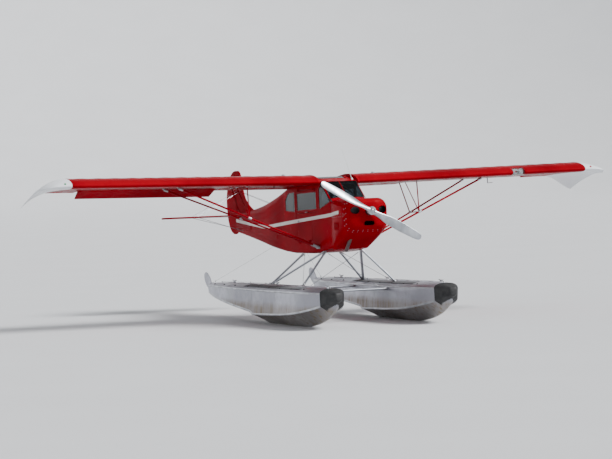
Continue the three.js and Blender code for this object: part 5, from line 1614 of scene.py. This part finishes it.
replaced = set()
for name, centre, size, tilt, node, along in seats["pads"]:
    lean = math.radians(tilt)
    turn = np.array([[math.cos(lean), 0, math.sin(lean)], [0, 1, 0], [-math.sin(lean), 0, math.cos(lean)]])
    tilted = turn.T if size[2] > 0.2 else turn
    block = roundedBlock(size)
    pad = (block[0] @ tilted.T + centre, block[1])
    piece = makePiece(name, pad, tweed, sharp=180, stands=(node,) if node not in replaced else ())
    replaced.add(node)
    swollen(piece)
    middle = onAirframe(centre)
    direction = onAirframe(centre + tilted @ np.array(along, float)) - middle
    channelled(piece, middle, direction)
    piece.data.shade_smooth()
    piece.data.materials.clear()
    piece.data.materials.append(tweed)
    finer = piece.modifiers.new("finer", "SUBSURF")
    finer.levels = finer.render_levels = 1
    # A sewn welt round the pad's rim, laid on its surface.
    flat = int(np.argmin(size))
    rimTurn = np.linspace(0, 2 * np.pi, 120, endpoint=False)
    rim = np.zeros((120, 3))
    a, b = [k for k in range(3) if k != flat]
    reach = (np.abs(np.cos(rimTurn)) ** 7 + np.abs(np.sin(rimTurn)) ** 7) ** (-1 / 7) / 2
    rim[:, a], rim[:, b] = np.cos(rimTurn) * reach * size[a], np.sin(rimTurn) * reach * size[b]
    path = onAirframe(rim * 1.06 @ tilted.T + centre)
    bpy.context.view_layer.update()
    path = np.array([list(piece.closest_point_on_mesh(Vector(point))[1]) for point in path])
    makePiece(name + "_welt", tube(path, 0.0035, 8, tuple(direction if size[2] < 0.2 else (1, 0, 0.2)), close=True),
        vinylTrim, where=asGiven)
print("seat pads made")

# The seats' steel tube frames.
frameParts = []
for front, back, half, cushion, topX, topZ in ((-0.40, -0.85, 0.215, 1.57, -0.94, 2.08),
        (-1.21, -1.56, 0.235, 1.54, -1.63, 2.01)):
    under, low = cushion - 0.092, 1.3345
    for s in (-1, 1):
        y = s * (half - 0.03)
        side = eased([(front - 0.04, y, low), (front - 0.04, y, under), (back, y, under),
            (topX - 0.02, y, topZ - 0.06)], False, 0.05)
        frameParts.append(tube(side, seats["tube"], 14, (0, 1, 0)))
        frameParts.append(rod((back + 0.06, y, low), (back + 0.06, y, under), seats["tube"], 14))
        for x in (front - 0.04, back + 0.06):
            frameParts.append(turned([(0, 0.004), (0.024, 0.004), (0.026, 0.0), (0, 0)], (x, y, low - 0.0035),
                (0, 0, 1), 16))
    for x, z in ((front - 0.04, under), (back + 0.06, under), (topX - 0.02, topZ - 0.06)):
        frameParts.append(rod((x, -half + 0.03, z), (x, half - 0.03, z), seats["tube"] * 0.9, 14))
makePiece("seat_frames", frameParts, plainFinish("grey powder coated steel tube", "#6f7276", "#5d6064", (0.4, 0.55)))

# Lap and shoulder belts, flat webbing laid over each pad, with a buckle.
beltParts, buckleParts = [], []
for x, z, half, back, backZ in ((-0.66, 1.5855, 0.20, (-0.885, 1.83), 2.03),
        (-1.41, 1.5555, 0.22, (-1.558, 1.78), 1.96)):
    across = np.linspace(-1, 1, 31)
    lap = columns(x, across * (half + 0.008), z + 0.006 - 0.05 * np.clip(np.abs(across) - 0.93, 0, 1) / 0.07)
    beltParts.append(strip(lap, 0.048, 0.003, (0, 0, 1)))
    buckleParts.append(brick((x - 0.03, -0.036, z + 0.006), (x + 0.03, 0.036, z + 0.018)))
    for s in (-1, 1):
        rise = np.linspace(0, 1, 15)
        path = columns(back[0] + 0.012 + (backZ - back[1]) * -0.183 * rise, s * (0.03 + 0.075 * rise),
                       back[1] - 0.16 + (backZ - back[1] + 0.16) * rise)
        beltParts.append(strip(path + [0.012, 0, 0], 0.046, 0.003, (1, 0, 0.18)))
makePiece("seat_belts", beltParts, webbing)
makePiece("seat_belt_buckles", buckleParts, plainSteel, bevel=0.003)
print("seats made")

# Panel dials and switches face aft: round bezels on the dark panel, plain ticks and a pointer each.
panel = {
    "x": 0.0945, "switches": (-0.04, 0.12, 1.875, 7),
    "dials": [(-0.235, 1.985, 0.040), (-0.145, 1.985, 0.040), (-0.055, 1.985, 0.040), (0.235, 1.985, 0.040),
              (0.145, 1.985, 0.040), (-0.19, 1.895, 0.028), (-0.12, 1.895, 0.028), (0.17, 1.895, 0.028)],
}
bezels, ticks = [], []


# A line on a dial, from one share of its radius to another.
def dialLine(seat, degrees, aft, radius, inner, outer, thick):
    out = np.array([0, math.cos(math.radians(degrees)), math.sin(math.radians(degrees))])
    ticks.append(rod(seat - [aft, 0, 0] + out * radius * inner, seat - [aft, 0, 0] + out * radius * outer, thick, 4))


for y, z, radius in panel["dials"]:
    seat = np.array((panel["x"], y, z))
    shape = [(0, -0.002), (radius * 1.12, -0.002), (radius * 1.12, 0.004), (radius * 1.04, 0.007),
             (radius * 0.96, 0.006), (radius * 0.94, 0.002), (0, 0.002)]
    bezels.append(turned(shape, seat, (-1, 0, 0), 32))
    for k in range(12):
        dialLine(seat, 30 * k, 0.0030, radius, 0.74, 0.9, 0.0011)
    dialLine(seat, 70 + 500 * y, 0.0042, radius, -0.15, 0.68, 0.0013)
y0, y1, z, count = panel["switches"]
for y in np.linspace(y0, y1, count):
    bezels.append(turned([(0, -0.002), (0.008, -0.002), (0.008, 0.002), (0.006, 0.003), (0, 0.003)], (panel["x"], y, z),
        (-1, 0, 0), 10))
    ticks.append(rod((panel["x"] - 0.002, y, z), (panel["x"] - 0.016, y, z + 0.006), 0.0022, 8))
makePiece("panel_dials", bezels, blackPanel, sharp=50)
makePiece("panel_ticks", ticks, whitePlastic)

# Coated steel tubes of the cabin frame: a V behind the windscreen, side posts, cross tubes and crossed diagonals.
tubeParts = []
for s in (-1, 1):
    tubeParts.append(rod((0.30, s * 0.29, 2.095), (-0.045, s * 0.045, 2.43), 0.011, 14))
    tubeParts.append(rod((-0.05, s * 0.318, 2.43), (-0.05, s * 0.318, 2.0), 0.011, 14))
    tubeParts.append(rod((-1.165, s * 0.318, 2.46), (-1.165, s * 0.318, 1.42), 0.011, 14))
    tubeParts.append(rod((-0.06, s * 0.30, 2.42), (-1.15, s * -0.30, 2.475), 0.008, 12))
for x, z in ((-0.05, 2.425), (-1.165, 2.47)):
    tubeParts.append(rod((x, -0.318, z), (x, 0.318, z), 0.012, 14))
makePiece("cabin_tubes", tubeParts, plainFinish("grey powder coat on frame tube", "#808388", "#6c6f74", (0.35, 0.5)))

# Cooling fins round each cylinder, with a rocker cover and two plug leads.
fins, covers, leads = [], [], []
finAngle = np.linspace(0, 2 * np.pi, 40, endpoint=False)
for x0, x1 in ((0.70, 0.85), (0.93, 1.08)):
    for s in (-1, 1):
        middle = np.array([(x0 + x1) / 2, 0, 1.9075])
        turn = columns(np.cos(finAngle), np.sin(finAngle))
        square = [(x1 - x0) / 2 + 0.004, 0.0815] * np.sign(turn) * np.abs(turn) ** 0.45
        for y in np.arange(0.150, 0.305, 0.011):
            fins.append(skin([columns(middle[0] + square[:, 0] * g, s * (y + dy), middle[2] + square[:, 1] * g)
                              for g, dy in ((0.9, -0.0016), (1, -0.0009), (1, 0.0009), (0.9, 0.0016))]))
        covers.append(skin([columns(middle[0] + square[:, 0] * g * 0.9, s * y, middle[2] + square[:, 1] * g * 0.82)
                            for g, y in ((0.96, 0.310), (1.0, 0.314), (1.0, 0.332), (0.93, 0.343), (0.7, 0.348))]))
        for dx in (-0.03, 0.03):
            f = np.linspace(0, 1, 14)
            path = columns(middle[0] + dx, s * (0.30 - 0.20 * f), 1.995 + 0.035 * np.sin(np.pi * f) + 0.01 * f)
            leads.append(tube(path, 0.0045, 8, (1, 0, 0)))
makePiece("engine_fins", fins, engineCast, sharp=30)
makePiece("engine_covers", covers, engineCast, sharp=30)
makePiece("engine_leads", leads, blackRubber)
print("cabin fitted out")

# Small fittings of the airframe, each from a short row of places.
outside = {
    "caps": [(-0.46, 0.86), (-0.46, -0.86)],
    "inspection": [(-0.45, 1.35), (-0.95, 1.35), (-0.45, 2.45), (-0.95, 3.5), (-0.45, 4.3)],
    "beacon": (-2.05, 0.0), "pitot": (-0.30, 3.05), "root": 0.036, "handle": (-1.05, 1.80),
}
capParts, ringParts = [], []
coverShape = [(0, 0.0032), (0.040, 0.0032), (0.046, 0.0014), (0.054, 0.0012), (0.055, -0.003), (0, -0.003)]
for x, y in outside["caps"]:
    spot = onWing(x, y, 1)
    shape = [(0, 0.016), (0.024, 0.016), (0.028, 0.013), (0.029, 0.004), (0.040, 0.002), (0.041, -0.006), (0, -0.006)]
    capParts += [turned(shape, spot, (0, 0, 1), 30), brick(spot + [-0.004, -0.022, 0.015],
        spot + [0.004, 0.022, 0.021])]
for x, y in outside["inspection"]:
    for s in (-1, 1):
        spot = underWing(x, y, 0.0) * [1, s, 1]
        ringParts.append(turned(coverShape, spot, (0, 0, -1), 30))
for x, z, s in ((-2.2, 1.55, 1), (-2.2, 1.55, -1), (-3.9, 1.78, 1), (-3.9, 1.78, -1)):
    row = between(rearBody["x"], rearBody["rows"], [x])[0]
    shape = [(0, 0.0030), (0.040, 0.0030), (0.046, 0.0014), (0.054, 0.0012), (0.055, -0.004), (0, -0.004)]
    ringParts.append(turned(shape, (x, s * (row[0] + 0.001), z), (0, s, 0), 30))
makePiece("fuel_caps", capParts, castAlloy, sharp=40)
makePiece("inspection_covers", ringParts, redEnamel, sharp=40)

# A sheet strip over each wing root, following the wing's section, and one round the skylight.
rootParts = []
for s in (-1, 1):
    for side, upward in ((1, 1), (-1, -1)):
        t = np.linspace(0.0 if side > 0 else 0.004, 0.985, 60) ** 1.4
        ring = wingPoints(t, side, np.full(60, 0.3603 + outside["root"] / 2))
        ring[:, 2] += upward * 0.0022
        rootParts.append(strip(ring * [1, s, 1], outside["root"], 0.003, (0, 0, upward)))
makePiece("wing_root_strips", rootParts, redEnamel, sharp=40)
roofX = np.linspace(-1.12, -0.26, 25)
roofZ = cabinAt(roofX, 2) + 0.0008
across = np.linspace(0.26, -0.26, 9)
frameLine = np.concatenate([columns(*run) for run in (
    (roofX, 0.27, roofZ), (-0.26, across, roofZ[-1]), (roofX[::-1], -0.27, roofZ[::-1]), (-1.12, -across, roofZ[0]))])
makePiece("skylight_frame", strip(frameLine, 0.024, 0.005, (0, 0, 1), close=True), redEnamel,
    sharp=40)

# Hinge plates of the flaps and ailerons: sheet arms from the cove to the pin, with a pin through each slot.
plateParts = {"fixed": [], "flap": [], "aileron": []}
for kind in ("flap", "aileron"):
    for y in wing[kind + "Hinges"]:
        z = hingeZ(y)
        root = hingeX + noseRadius + 0.016
        bend = np.radians(np.linspace(75, 285, 13))
        ring = [(root, z + 0.030), *zip(hingeX + 0.013 * np.cos(bend), z + 0.013 * np.sin(bend)), (root, z - 0.030)]
        plateParts["fixed"].append(skin([[(px, y + dy, pz) for px, pz in ring] for dy in (-0.0035, 0.0035)]))
        plateParts[kind].append(rod((hingeX, y - 0.0125, z), (hingeX, y + 0.0125, z), 0.006, 12))
for side, s in sides:
    for kind, body in (("fixed", "airframe"), ("flap", "flap_" + side), ("aileron", "aileron_" + side)):
        makePiece("hinge_" + ("plates_" if kind == "fixed" else kind + "_pins_") + side, plateParts[kind], plainSteel,
            body, flip=s < 0)

# Lamps: a coloured lens on each tip's leading edge and a red beacon on the back.
redLens = plainFinish("red moulded lens", "#b3101c", "#8f0a14", (0.08, 0.16), 0.0, 30, 0.0001, Coat_Weight=0.5)
greenLens = plainFinish("green moulded lens", "#0e8a4a", "#0a6a38", (0.08, 0.16), 0.0, 30, 0.0001, Coat_Weight=0.5)
for side, s, lens in (("left", 1, redLens), ("right", -1, greenLens)):
    seat = wingPoints(np.array([0.012]), 1, 5.02, droop=wing["droop"] * 0.25**1.5, sag=False)[0] * [1, s, 1]
    shape = [(0, 0.030), (0.010, 0.027), (0.017, 0.018), (0.020, 0.006), (0.021, -0.012), (0, -0.012)]
    makePiece("tip_lamp_" + side, turned(shape, seat - [0.012, 0, 0.004], (0.55, 0, 0.83), 24), lens)
x, y = outside["beacon"]
top = between(rearBody["x"], rearBody["rows"], [x])[0][2]
for name, shape, finish in (
        ("beacon", [(0, 0.062), (0.018, 0.058), (0.030, 0.044), (0.034, 0.024), (0.036, 0.010), (0.036, -0.006),
                    (0, -0.006)], redLens),
        ("beacon_base", [(0, 0.008), (0.044, 0.008), (0.050, 0.002), (0.052, -0.010), (0, -0.010)], redEnamel)):
    makePiece(name, turned(shape, (x, y, top), (0, 0, 1), 30), finish)

# Pitot tube under the port wing, with its mast.
x, y = outside["pitot"]
spot = underWing(x, y, -0.004)
pitot = [sweep(spot + np.array([[0, 0, 0], [0, 0, -0.11]]), teardrop(0.035, 0.012), (1, 0, 0)),
         tube(eased([spot + [-0.01, 0, -0.11], spot + [0.02, 0, -0.112], spot + [0.20, 0, -0.112]], False, 0.02),
         0.0055, 14, (0, 1, 0))]
makePiece("pitot_tube", pitot, plainSteel)

# A handle on the lower door, a pull on the upper one, and a catch for it under the wing.
x, z = outside["handle"]
y = -cabinHalfAt(x) - 0.001
handle = [turned([(0, 0.009), (0.017, 0.008), (0.020, 0.003), (0.021, -0.002), (0, -0.002)], (x, y, z), (0, -1, 0), 24),
          tube(eased([(x, y - 0.004, z), (x, y - 0.020, z), (x + 0.085, y - 0.022, z - 0.004)], False, 0.012), 0.0058,
          12, (0, 0, 1))]
makePiece("door_handle", handle, plainSteel, "door_lower", sharp=40)
pull = eased([(-0.70, -0.361, 1.962), (-0.70, -0.378, 1.958), (-0.60, -0.378, 1.958), (-0.60, -0.361, 1.962)],
             False, 0.01)
makePiece("upper_door_pull", tube(pull, 0.005, 12, (0, 0, 1)), plainSteel, "door_upper")
catch = underWing(-0.62, 0.98, 0.0) * [1, -1, 1]
makePiece("upper_door_catch", turned([(0, 0.030), (0.007, 0.028), (0.009, 0.010), (0.018, 0.004), (0.019, -0.003),
    (0, -0.003)], catch, (0, 0, -1), 16), blackRubber)

# Wires: one from each float's stern up to the body, and one along each deck, through eyes.
lineParts, lineEnds = [], []
for s in (-1, 1):
    sternEye = np.array([-3.42, s * floats["y"], 0.655])
    bodyEye = onAirframe((-2.45, s * 0.27, 1.40)) - onFloats(np.zeros(3))
    lineParts.append(rod(sternEye, bodyEye, 0.0022, 8))
    y = s * (floats["y"] - 0.07)
    deck = [(floats["bow"] - u, y, crownAt(u) + 0.016) for u in np.linspace(5.55, 3.35, 12)]
    lineParts.append(tube(deck, 0.0022, 8, (0, 1, 0)))
    for u in (3.35, 4.1, 4.85, 5.5):
        shape = [(0.010, -0.012), (0.010, 0.003), (0.006, 0.006), (0.0055, 0.024), (0, 0.026)]
        lineEnds.append(turned(shape, (floats["bow"] - u, y, crownAt(u)), (0, 0, 1), 12))
    for spot in (sternEye, bodyEye):
        lineEnds.append(turned([(0, 0.012), (0.008, 0.009), (0.010, 0.0), (0.008, -0.009), (0, -0.012)], spot,
            (0, 0, 1), 12))
makePiece("water_rudder_lines", lineParts, plainSteel, where=onFloats)
makePiece("water_rudder_line_eyes", lineEnds, castAlloy, where=onFloats)

# A bow eye on each deck behind the boot.
eyes = []
arch = np.radians(np.linspace(0, 180, 15))
for s in (-1, 1):
    path = columns(floats["bow"] - 0.33 + 0.022 * np.cos(arch), s * floats["y"], crownAt(0.33) + 0.024 * np.sin(arch))
    eyes.append(tube(path, 0.0055, 12, (0, 1, 0)))
makePiece("bow_eyes", eyes, plainSteel, where=onFloats)
print("fittings and lines made")
